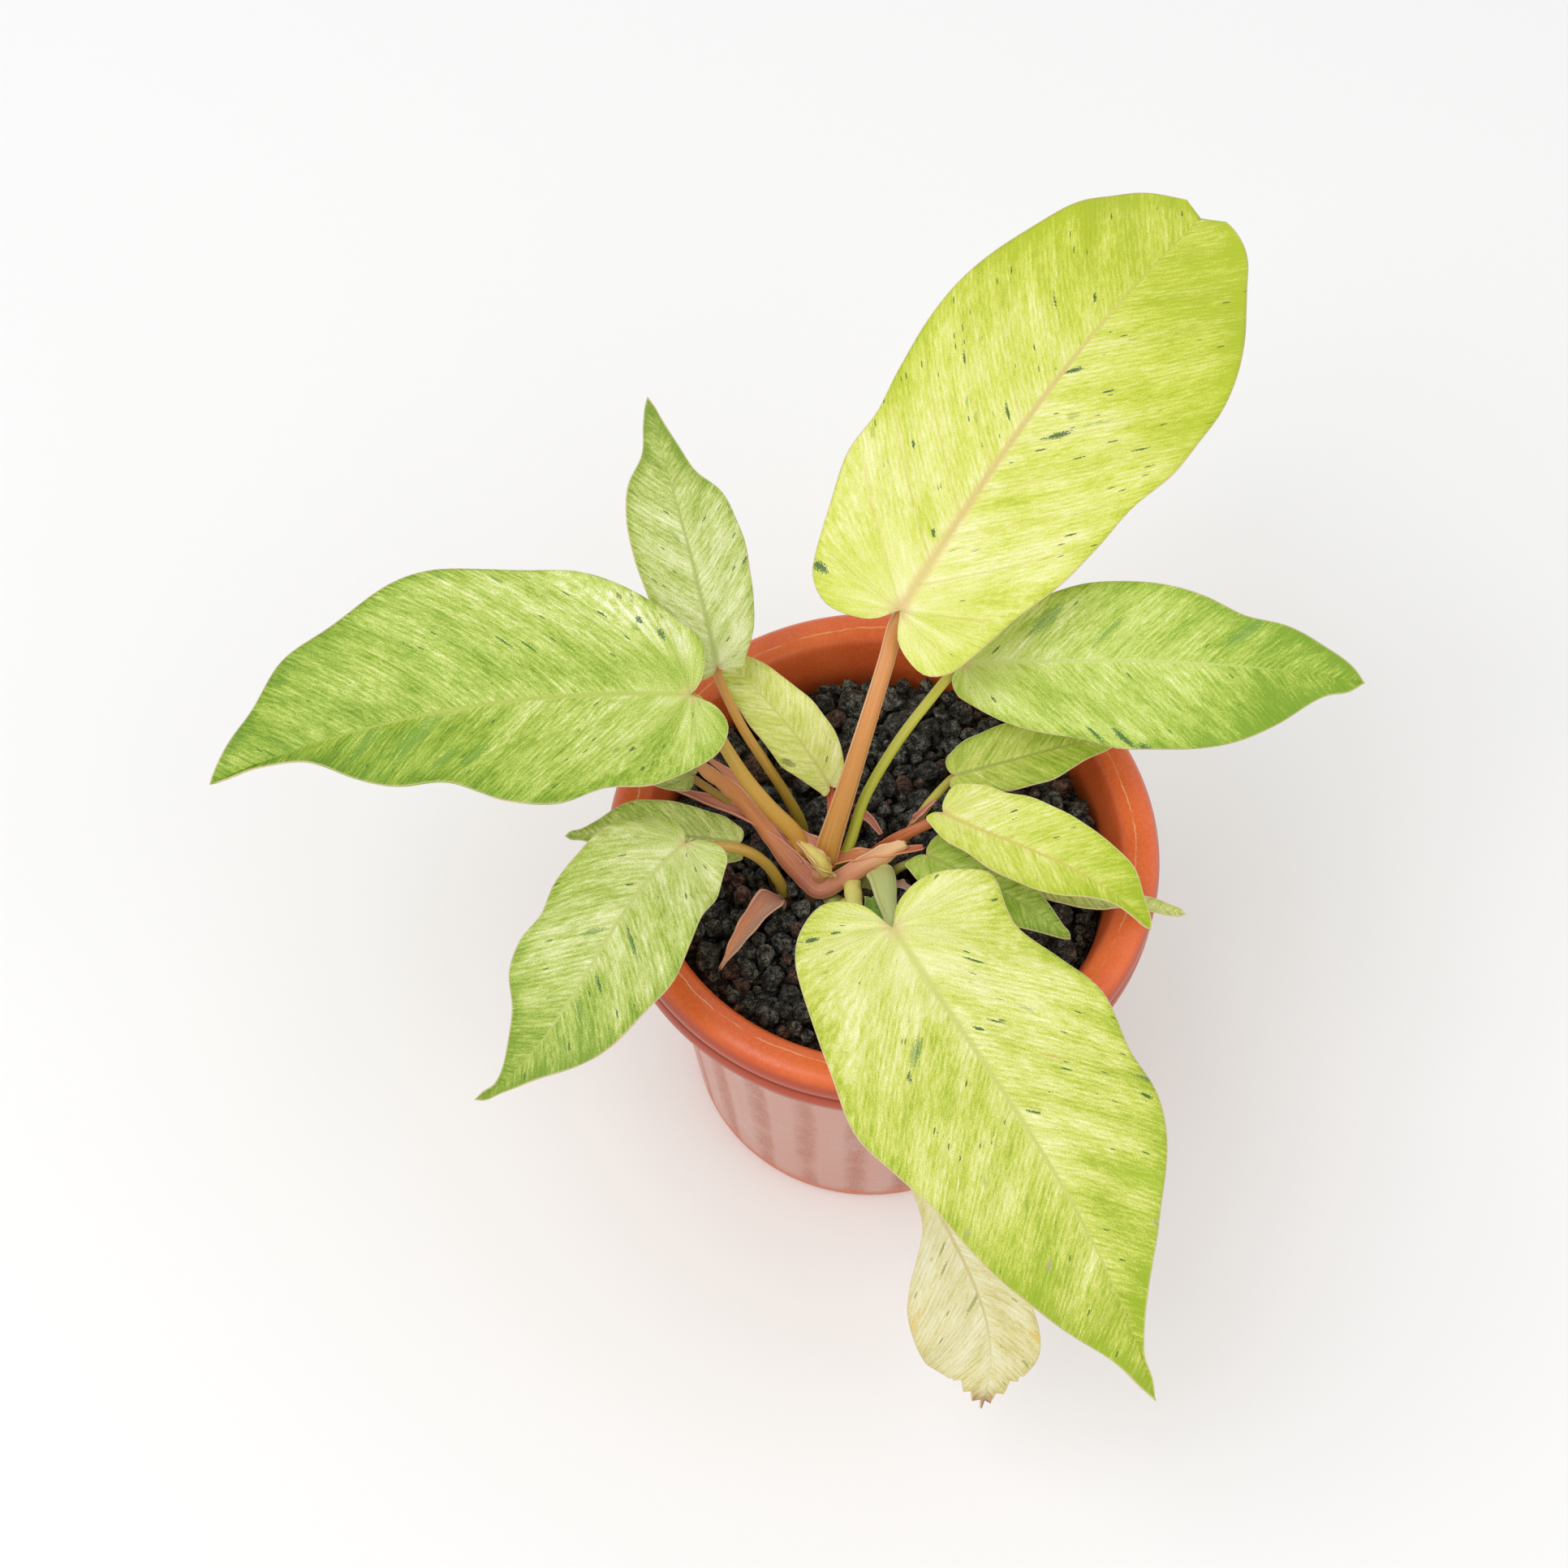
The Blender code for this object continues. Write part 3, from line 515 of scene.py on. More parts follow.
# spine: four points from the joint to the tip. lobes: how far each reaches behind the joint, and
# where. left, right: half-widths at the stations. petiole: points from the root to the joint.
leafShapes = {
    "a": dict(
        spine=[(-1, 47, 215), (24, 87, 238), (52, 133, 250), (89.5, 193, 246)],
        face=(-0.1, -0.3, 0.95), fold=0.12, bend=0.001, wave=1.8, waves=4,
        lobes=[(11, 19), (13, 17)], notch=4.5,
        left=(32, 37, 41, 40, 43, 44, 44, 42, 36, 27, 18),
        right=(28, 33, 39, 42, 44, 49, 49, 48, 41, 29, 19),
        petiole=[(-19, -10, 147), (-17, -5, 158), (-13, 5, 174), (-8.5, 18, 191), (-4, 34, 204)],
        radius=(3.2, 2.6),
    ),
    "b": dict(
        spine=[(-64, 19, 200), (-114, 8, 207), (-163, -5, 203), (-212, -20, 186)],
        face=(0, -0.1, 1), fold=0.25, bend=0.002, wave=1.6, waves=4,
        lobes=[(10, 13), (5, 14)],
        left=(27, 34, 35, 40, 36, 28, 25, 17, 6, 1.5, 1),
        right=(22, 32, 39, 42, 44, 45, 42, 34, 27, 15, 6),
        petiole=[(-25.5, -8.5, 144), (-28, -4.5, 156), (-37, -1, 167), (-45, 3, 177), (-53, 9, 188)],
        radius=(2.6, 1.9),
    ),
    "c": dict(
        spine=[(-58, 39, 185), (-67, 62, 203), (-77, 87, 214), (-89, 122, 215)],
        face=(0.1, -0.3, 0.95), fold=0.12, bend=0.001, wave=1.0, waves=3,
        lobes=[(3, 6), (2, 6)],
        left=(9, 13, 16, 17, 18, 18, 17, 14, 7, 4, 2),
        right=(9, 14, 16, 17, 18, 17, 15, 9, 6, 3, 1.5),
        petiole=[(-26, 8, 128), (-27.5, 10, 139), (-33, 14, 150), (-40, 18, 162), (-49, 25, 174)],
        radius=(1.9, 1.5),
    ),
    "d": dict(
        spine=[(-19, 16, 155), (-29, 25, 165), (-42, 37, 171), (-57, 52, 169)],
        face=(0, -0.3, 1), fold=0.2, bend=0.002, wave=0.6, waves=2,
        lobes=[(2, 3), (2, 3)],
        left=(4, 6, 8, 10, 10, 10, 10, 9, 8, 6, 3),
        right=(5, 8, 10, 11, 11, 11, 10, 9, 8, 6, 3),
        petiole=[(-19.5, -7, 141), (-18.5, -1, 145), (-17.5, 6, 147.5), (-18, 12, 149.5)],
        radius=(1.8, 1.4),
    ),
    "e": dict(
        spine=[(21, 45, 190), (62, 42, 203), (103, 41, 208), (147, 43, 201)],
        face=(0, -0.45, 0.9), fold=0.12, bend=0.001, wave=1.4, waves=4,
        lobes=[(4, 7), (4, 6)],
        left=(10, 15, 20, 24, 25, 24, 21, 16, 14, 9, 5),
        right=(12, 19, 23, 25, 28, 28, 27, 24, 17, 7, 4),
        petiole=[(-14, -8.5, 142), (-10.5, -2, 153), (-7, 8, 164), (1, 21, 175), (10, 33, 183)],
        radius=(2.5, 1.9),
    ),
    "f": dict(
        spine=[(21, 18, 165), (39, 22, 171), (59, 29, 173), (78, 38, 170)],
        face=(0, -0.3, 1), fold=0.1, bend=0.001, wave=0.6, waves=2,
        lobes=[(2, 4), (2, 3)],
        left=(7, 10, 11, 12, 12, 11, 10, 8, 6, 4, 2),
        right=(5, 8, 9, 10, 10, 10, 8, 6, 5, 3, 1.5),
        petiole=[(4, 4, 128), (6, 5, 140), (10, 8, 150), (14, 12, 157)],
        radius=(1.8, 1.4),
    ),
    "g": dict(
        spine=[(18, 0, 172), (41, -14, 181), (65, -23, 179), (86, -32, 165)],
        face=(0.1, -0.2, 1), fold=0.2, bend=0.002, wave=0.8, waves=3,
        lobes=[(3, 7), (3, 4)],
        left=(11, 14, 14, 15, 15, 15, 14, 12, 10, 5, 2.5),
        right=(6, 9, 10, 12, 12, 12, 10, 6, 3, 2, 1.5),
        petiole=[(-6, -3, 128), (-4, -2.5, 142), (2, -2, 153), (9, -2, 162)],
        radius=(2.3, 1.7),
    ),
    "h": dict(
        spine=[(14, -8, 158), (30, -19, 165), (47, -26, 162), (62, -30, 150)],
        face=(0.1, -0.2, 1), fold=0.15, bend=0.002, wave=0.6, waves=2,
        lobes=[(2, 5), (3, 6)],
        left=(8, 10, 10, 10, 10, 10, 9, 6, 4, 2, 1.5),
        right=(8, 10, 10, 10, 9, 9, 9, 7, 5, 3, 1.5),
        petiole=[(0, -9, 128), (2, -9, 140), (6, -8.5, 149)],
        radius=(1.6, 1.3),
    ),
    "i": dict(
        spine=[(43, -11, 156), (62, -17, 159), (80, -19, 158), (98, -19, 153)],
        face=(0, 0, 1), fold=0.1, bend=0.001, wave=0.4, waves=2,
        lobes=[(1, 2), (1, 2)],
        left=(4, 5, 6, 6, 6, 5, 4, 3, 3, 2, 1.5),
        right=(4, 5, 6, 6, 6, 5, 3, 2.5, 2, 2, 1.5),
        petiole=[(8, -15, 128), (11, -15, 141), (20, -14, 148), (31, -12.5, 151)],
        radius=(1.4, 1.1),
    ),
    "j": dict(
        spine=[(5, -49, 185), (39, -101, 193), (69, -143, 184), (93, -182, 156)],
        face=(0.15, -0.3, 0.95), fold=0.12, bend=0.001, wave=1.8, waves=4,
        lobes=[(10, 17), (18, 15)],
        left=(35, 32, 37, 41, 39, 38, 32, 21, 9, 1.5, 1),
        right=(33, 38, 42, 45, 41, 37, 33, 28, 20, 9, 4),
        petiole=[
            (-4.4, -11, 128), (-3.6, -10.8, 140), (-1.2, -10.5, 148), (0.6, -18, 157.5), (2.4, -31, 168),
            (4.2, -42, 177),
        ],
        radius=(3.2, 1.9),
    ),
    "k": dict(
        spine=[(21, -106, 127), (34, -123, 112), (46, -138, 86), (47, -156, 58)],
        face=(0.2, -0.9, 0.5), fold=0.1, bend=0.001, wave=1.0, waves=3, torn=5.0,
        lobes=[(1, 2), (1, 2)],
        left=(5, 8, 11, 13, 14, 15, 15, 16, 15, 9, 4),
        right=(5, 5, 7, 13, 19, 23, 24, 23, 20, 11, 6),
        petiole=[
            (-11, -20, 128), (-10.5, -21, 143), (-7, -29, 151), (0, -51, 156), (5, -72, 158.5),
            (10, -92, 156.5), (15, -102, 147),
        ],
        radius=(2.6, 1.9),
    ),
    "l": dict(
        spine=[(-62, -22, 178), (-80, -59, 187), (-95, -92, 183), (-118, -108, 161)],
        face=(-0.1, -0.3, 0.95), fold=0.15, bend=0.001, wave=1.4, waves=4,
        lobes=[(6, 9), (3, 6)],
        left=(16, 21, 22, 24, 25, 23, 20, 14, 7, 3, 2),
        right=(13, 20, 22, 23, 21, 22, 20, 12, 7, 1.5, 1),
        petiole=[(-30, -15, 128), (-32, -15, 142), (-38, -15, 157), (-47, -17, 168)],
        radius=(2.0, 1.5),
    ),
    "m": dict(
        spine=[(-46, -8, 155), (-64, -11, 162), (-83, -13, 164), (-102, -13, 159)],
        face=(0, -0.2, 1), fold=0.1, bend=0.001, wave=0.6, waves=2,
        lobes=[(1, 3), (1, 3)],
        left=(6, 8, 9, 9, 9, 9, 8, 7, 4, 2, 1.5),
        right=(5, 8, 9, 10, 11, 11, 11, 9, 5, 2, 1.5),
        petiole=[(-35, -8, 128), (-37, -8, 141), (-40, -8, 148)],
        radius=(1.4, 1.2),
    ),
    "n": dict(
        spine=[(-63, 11, 163), (-76, 14, 168), (-88, 17, 169), (-100, 19, 165)],
        face=(0, -0.2, 1), fold=0.1, bend=0.001, wave=0.4, waves=2,
        lobes=[(1, 3), (1, 3)],
        left=(6, 8, 9, 9, 9, 9, 8, 7, 4, 2, 1.5),
        right=(6, 8, 9, 9, 9, 9, 8, 7, 4, 2, 1.5),
        petiole=[(-28, -3, 128), (-31, -2, 142), (-39, 2, 150), (-50, 6, 155)],
        radius=(1.7, 1.3),
    ),
    "o": dict(
        spine=[(-2.5, -21, 149), (0, -30, 151.5), (4, -40, 153), (9, -49, 151)],
        face=(0, -0.3, 1), fold=0.15, bend=0.002, wave=0.2, waves=1,
        lobes=[(1, 2), (1, 2)],
        left=(2.5, 3.5, 4, 4.5, 4.5, 4.5, 4, 3.5, 3, 2, 1.5),
        right=(2, 2.5, 3, 3, 3.5, 3.5, 3, 3, 2.5, 2, 1.5),
        petiole=[(-3, -16, 128), (-3, -17, 139), (-3, -19, 144)],
        radius=(1.2, 1.0),
    ),
}

# colours on screen: deep, body and pale as the skin runs from green to cream, and the midrib's.
# tone, base, tip: how pale all of it, the joint end, and how green the tip; side: how green the right
# half; flecked: share of cells with a dark fleck; ribWide: midrib in millimetres
leafLooks = {
    "a": dict(
        deep=(180, 196, 40), body=(214, 221, 92), pale=(240, 239, 166), rib=(222, 194, 122), tone=0.46,
        base=0.24, tip=0.36, flecked=0.05, ribWide=3.8, veins=9, laterals=0.4, halo=0.15, dark=(56, 98, 44),
        spots=[
            (25, 6, 0.8, 1.6), (74, 9.5, 0.9, 3.2), (70.7, -16.8, 1.7, 4.6), (103, -3.8, 1.3, 3.0),
            (124, 9.8, 0.8, 1.6), (106, 22.8, 0.6, 3.0), (59, 38, 0.7, 2.4), (26, 35, 0.9, 1.4),
            (89, -22.5, 0.6, 2.0), (54, -50, 0.6, 3.6), (19, -46, 0.5, 2.4), (-26, 29, 1.8, 3.0),
            (65, -13.8, 0.5, 1.8), (15, 57, 0.6, 1.6), (57, -30, 0.4, 2.6), (62, -38, 0.5, 2.0),
        ],
    ),
    "b": dict(
        deep=(104, 142, 26), body=(154, 181, 56), pale=(208, 221, 122), rib=(190, 203, 96), tone=0.42,
        base=0.3, tip=0.2, side=-0.16, flecked=0.035, ribWide=2.0, veins=9, islands=0.6, dark=(58, 104, 42),
        spots=[
            (-5.4, -28.3, 0.9, 1.6), (-9, -20.8, 1.2, 2.4), (38, -26, 0.6, 3.6), (-5.6, -38, 0.5, 1.2, 96, 66, 40),
            (-8, -36, 0.4, 0.9, 96, 66, 40), (100, 6, 2.6, 10, 104, 150, 52), (81, 10, 4.0, 12, 112, 156, 56),
            (62, 26, 3.0, 6, 110, 154, 54), (0, -36.7, 0.4, 1.4), (33, -23, 0.4, 3.0), (52, 26, 2.4, 5, 104, 150, 52),
            (-0.6, 30, 0.8, 1.6), (-7.6, 23, 0.5, 1.2), (92, 19, 0.5, 1.2),
        ],
    ),
    "c": dict(
        deep=(128, 156, 50), body=(182, 197, 98), pale=(226, 231, 172), rib=(168, 182, 90), tone=0.5,
        base=0.22, tip=0.4, flecked=0.04, ribWide=2.0, veins=7, islands=0.6,
        spots=[(16, -22.8, 0.8, 2.0), (18.6, -17, 0.5, 1.2), (44, -10, 0.5, 1.4), (37, -23, 1.2, 2.0, 110, 150, 60)],
    ),
    "d": dict(
        deep=(168, 188, 52), body=(208, 215, 102), pale=(234, 236, 156), rib=(206, 204, 104), tone=0.62,
        base=0.1, tip=0.3, side=-0.2, flecked=0.03, ribWide=1.2, veins=6,
        spots=[(9, 10.4, 1.9, 2.4, 66, 66, 46)],
    ),
    "e": dict(
        deep=(128, 164, 36), body=(178, 200, 76), pale=(220, 232, 140), rib=(214, 225, 134), tone=0.47,
        base=0.25, tip=0.45, flecked=0.03, ribWide=1.5, veins=8, islands=0.6, dark=(64, 110, 48),
        spots=[
            (26.7, -35, 1.6, 5.0), (31, -39.4, 2.2, 3.0), (18.6, -33, 0.9, 3.6), (14, 18, 3.2, 7, 122, 158, 88),
            (6.6, 5.6, 0.5, 1.8), (-2, -15.8, 0.6, 1.6), (38, 12, 1.6, 9, 130, 166, 70), (80, 16, 2.4, 9, 118, 156, 70),
        ],
    ),
    "f": dict(
        deep=(128, 155, 28), body=(164, 185, 58), pale=(206, 213, 104), rib=(150, 160, 70), tone=0.52,
        base=0.1, tip=0.2, flecked=0.02, ribWide=1.0, veins=6,
    ),
    "g": dict(
        deep=(166, 188, 30), body=(200, 211, 78), pale=(230, 233, 138), rib=(214, 196, 100), tone=0.47,
        base=0.25, tip=0.4, flecked=0.04, ribWide=1.5, veins=7, spots=[(13, 13, 0.5, 1.2), (32, 9.5, 0.5, 1.2)],
    ),
    "h": dict(
        deep=(112, 148, 34), body=(158, 188, 62), pale=(200, 216, 116), rib=(160, 180, 76), tone=0.52, rough=0.2,
        base=0.1, tip=0.1, flecked=0.01, ribWide=1.0, veins=6,
    ),
    "i": dict(
        deep=(146, 158, 66), body=(204, 212, 116), pale=(232, 236, 164), rib=(204, 194, 120), tone=0.56,
        base=0.1, tip=0.1, flecked=0.01, ribWide=1.0, veins=5,
    ),
    "j": dict(
        deep=(156, 180, 34), body=(204, 212, 90), pale=(238, 238, 168), rib=(206, 210, 112), tone=0.42,
        base=0.24, tip=0.32, flecked=0.05, ribWide=2.6, veins=8, laterals=0.3, halo=0.12, dark=(58, 98, 46),
        spots=[
            (-31.8, -17.6, 0.9, 1.8), (-29.9, -25.6, 1.1, 2.2), (5.7, 21, 0.5, 3.4), (36, 6, 0.7, 1.6),
            (31, 14, 0.6, 3.0), (21.4, -23.4, 1.6, 5.2, 96, 140, 66), (22.6, -20, 1.0, 3.4, 80, 128, 60),
            (21.3, -31, 1.3, 1.7), (67, 6, 0.6, 2.6), (38.7, 52, 1.6, 3.4, 66, 120, 66), (47, 48.7, 1.2, 1.6),
            (41, 25, 0.5, 3.4, 216, 164, 88), (45, 27, 0.4, 1.8), (100, 27, 1.2, 1.6, 150, 140, 128),
            (100, -21.4, 1.3, 1.6, 178, 160, 140), (59.5, -44.8, 1.0, 1.2, 176, 170, 130),
            (83, 31, 4.5, 8, 166, 192, 40), (-21.5, -22, 0.6, 1.8), (100, 38, 6, 8, 186, 210, 30),
        ],
    ),
    "k": dict(
        deep=(204, 190, 108), body=(228, 219, 160), pale=(243, 238, 204), rib=(214, 198, 128), tone=0.55,
        base=0.1, tip=0.1, flecked=0.02, ribWide=1.5, veins=6, dark=(120, 140, 56), islands=0.1, burn=(158, 104, 84),
        spots=[
            (24, -6, 0.5, 2.6, 110, 130, 50), (28.5, -8.6, 0.6, 3.0, 110, 130, 50), (49, -2, 1.0, 6.5, 132, 150, 66),
            (64.5, 15.8, 0.8, 1.8, 110, 140, 50), (27, -31, 1.6, 5, 226, 190, 92), (52, 22.5, 1.8, 6, 232, 196, 90),
            (43.6, 14.7, 0.4, 1.2, 110, 130, 50),
        ],
    ),
    "l": dict(
        deep=(122, 153, 38), body=(174, 192, 84), pale=(219, 226, 154), rib=(198, 207, 120), tone=0.44,
        base=0.3, tip=0.3, flecked=0.05, ribWide=1.8, veins=7, islands=0.6, dark=(64, 108, 48),
        spots=[
            (37.9, -6, 1.6, 4.4, 104, 142, 66), (33, 11.4, 0.9, 6.4), (52, 7.3, 0.8, 3.6), (4.3, 18.9, 0.5, 1.3),
            (19.8, -5, 0.5, 1.3), (63, 6, 2.2, 3.4, 120, 150, 60), (70.6, 11, 0.6, 1.6), (47, 21.6, 0.6, 1.8),
        ],
    ),
    "m": dict(
        deep=(114, 140, 46), body=(166, 184, 84), pale=(212, 219, 138), rib=(160, 170, 90), tone=0.54,
        base=0.1, tip=0.1, flecked=0.02, ribWide=1.0, veins=6,
    ),
    "n": dict(
        deep=(108, 130, 46), body=(152, 169, 78), pale=(200, 206, 128), rib=(150, 160, 84), tone=0.45,
        base=0.1, tip=0.1, flecked=0.02, ribWide=1.0, veins=6,
    ),
    # leaf o: a small green leaf, painted dark green as painted shade, for its place under leaf j
    "o": dict(
        deep=(76, 114, 34), body=(106, 146, 54), pale=(150, 180, 90), rib=(130, 160, 70), tone=0.45,
        base=0.1, tip=0.1, flecked=0.01, ribWide=0.8, veins=5,
    ),
}


# which vein a point is on, and how far out along it, in millimetres: a vein leaves the midrib at
# about 45 degrees and curves towards the tip; behind the joint the veins fan out from it
def veinPlace(along, across, size):
    bow = 0.95 * across + 0.004 / size * across**2
    ahead = along - bow
    turn = np.arctan2(across, along) - np.arctan2(across, np.maximum(bow, 1e-9))
    index = np.where(ahead > 0, ahead, -26 * size * np.maximum(turn, 0))
    reach = np.where(ahead > 0, 1.4 * across, 1.4 / 1.38 * np.hypot(along, across))
    return index, reach


# a blade: its spine is a cubic through four points, its margin a smooth line in (along, across)
class Blade:
    def __init__(self, leaf):
        self.leaf = leaf
        powers = np.vander(np.array([0, 1 / 3, 2 / 3, 1]), 4)
        self.spine = np.linalg.solve(powers, np.array(leaf["spine"], float))
        u = np.linspace(0, 1, 200)[:, None]
        line = np.hstack([u**3, u**2, u, u**0]) @ self.spine
        self.length = np.linalg.norm(np.diff(line, axis=0), axis=1).sum()
        self.tip = self.length - leaf.get("notch", 0)

    # point, tangent, left and up of the spine at distances from the joint
    def frame(self, along):
        u = np.clip(along / self.length, 0, 1)[..., None]
        point = np.concatenate([u**3, u**2, u, u**0], -1) @ self.spine
        tangent = unit(np.concatenate([3 * u**2, 2 * u, u**0, 0 * u], -1) @ self.spine)
        left = unit(np.cross(np.array(self.leaf["face"], float), tangent))
        up = np.cross(tangent, left)
        return point + tangent * (along[..., None] - u * self.length), tangent, left, up

    def margin(self, side):
        leaf = self.leaf
        back, reach = self.leaf["lobes"][side]
        half = self.leaf["right" if side else "left"]
        lobe = [(0, 0), (-0.7 * back, 0.35 * reach), (-back, reach), (-0.66 * back, 0.54 * (reach + half[0]))]
        body = [(share * self.length, width) for share, width in zip(stations, half)]
        line = smoothLine([*lobe, *body, (self.length, 0)], 24)
        dent = leaf.get("notch", 0) * np.exp(-((line[:, 1] / 3.2) ** 2)) * (line[:, 0] > self.length / 2)
        teeth = np.abs((line[:, 1] * 0.27 + 0.3 * side) % 1 - 0.5) * 2
        line[:, 0] -= dent + leaf.get("torn", 0) * teeth * (line[:, 0] > 0.88 * self.length)
        return line

    # one half as rows that bow from the spine to the margin; the height over the spine is
    # fold·q - bend·q² + wave·sin, with a sunk midrib, low quilting between veins and a frilled edge
    def half(self, side, fan, rows, columns, veins):
        leaf = self.leaf
        line = self.margin(side)
        start = np.maximum.accumulate(line[:, 0] - joint["ribSlant"] * np.abs(line[:, 1]))
        turn = int(np.argmax(start > 0))
        lobe = evenly(line[: turn + 1], fan + 1)[:-1]
        roots = np.linspace(0, self.tip, rows + 1)
        rest = np.stack([np.interp(roots, start[turn:], line[turn:, i]) for i in (0, 1)], 1)
        rest[-1] = self.tip, 0
        edge = np.vstack([lobe, rest])
        root = np.r_[np.zeros(fan), roots]
        out = np.linspace(0, 1, columns + 1) ** 0.9
        bow = root + 0.35 * (edge[:, 0] - root)
        along = np.outer(root, (1 - out) ** 2) + np.outer(bow, 2 * out * (1 - out)) + np.outer(edge[:, 0], out**2)
        across = np.outer(edge[:, 1], out)
        point, _, left, up = self.frame(along)
        share = np.linspace(0, 1, len(edge))[:, None]
        swing = np.sin(2 * math.pi * (share * leaf["waves"] + 0.3 * side)) * out**2
        fade = np.clip(edge[:, 1] / 12, 0, 1)[:, None]
        size = self.length / 160
        rise = leaf["fold"] * across - leaf["bend"] * across**2 + leaf["wave"] * fade * swing
        ribWidth = size * (2.6 - 2.0 * np.clip(along / self.length, 0, 1)) + 0.2
        rise = rise - 0.55 * size * np.exp(-((across / ribWidth) ** 2))
        index, reach = veinPlace(along, across, size)
        quilt = np.cos(2 * math.pi * veins * (index / self.length + 0.5 * side))
        rise = rise + 0.3 * size * quilt * fade * 4 * out * (1 - out)
        sign = -1 if side else 1
        spot = np.stack([along, sign * across], -1)
        rise = rise + 0.35 * size * ripple(spot / size, 34, 7 + side) * np.clip(across / 8, 0, 1)
        flare = 0.5 * size * ripple(np.stack([share * 60 * size + 0 * out, 0 * along], -1), 9, 17 + side)
        rise = rise + flare * fade * out**4
        points = point + left * (sign * across)[..., None] + up * rise[..., None]
        whole = np.linalg.norm(edge - np.stack([root, 0 * root], 1), axis=1)[:, None]
        place = np.stack([along, sign * across, whole * (1 - out)], -1)
        return points, place, np.stack([index, reach, sign * out + 0 * along], -1)


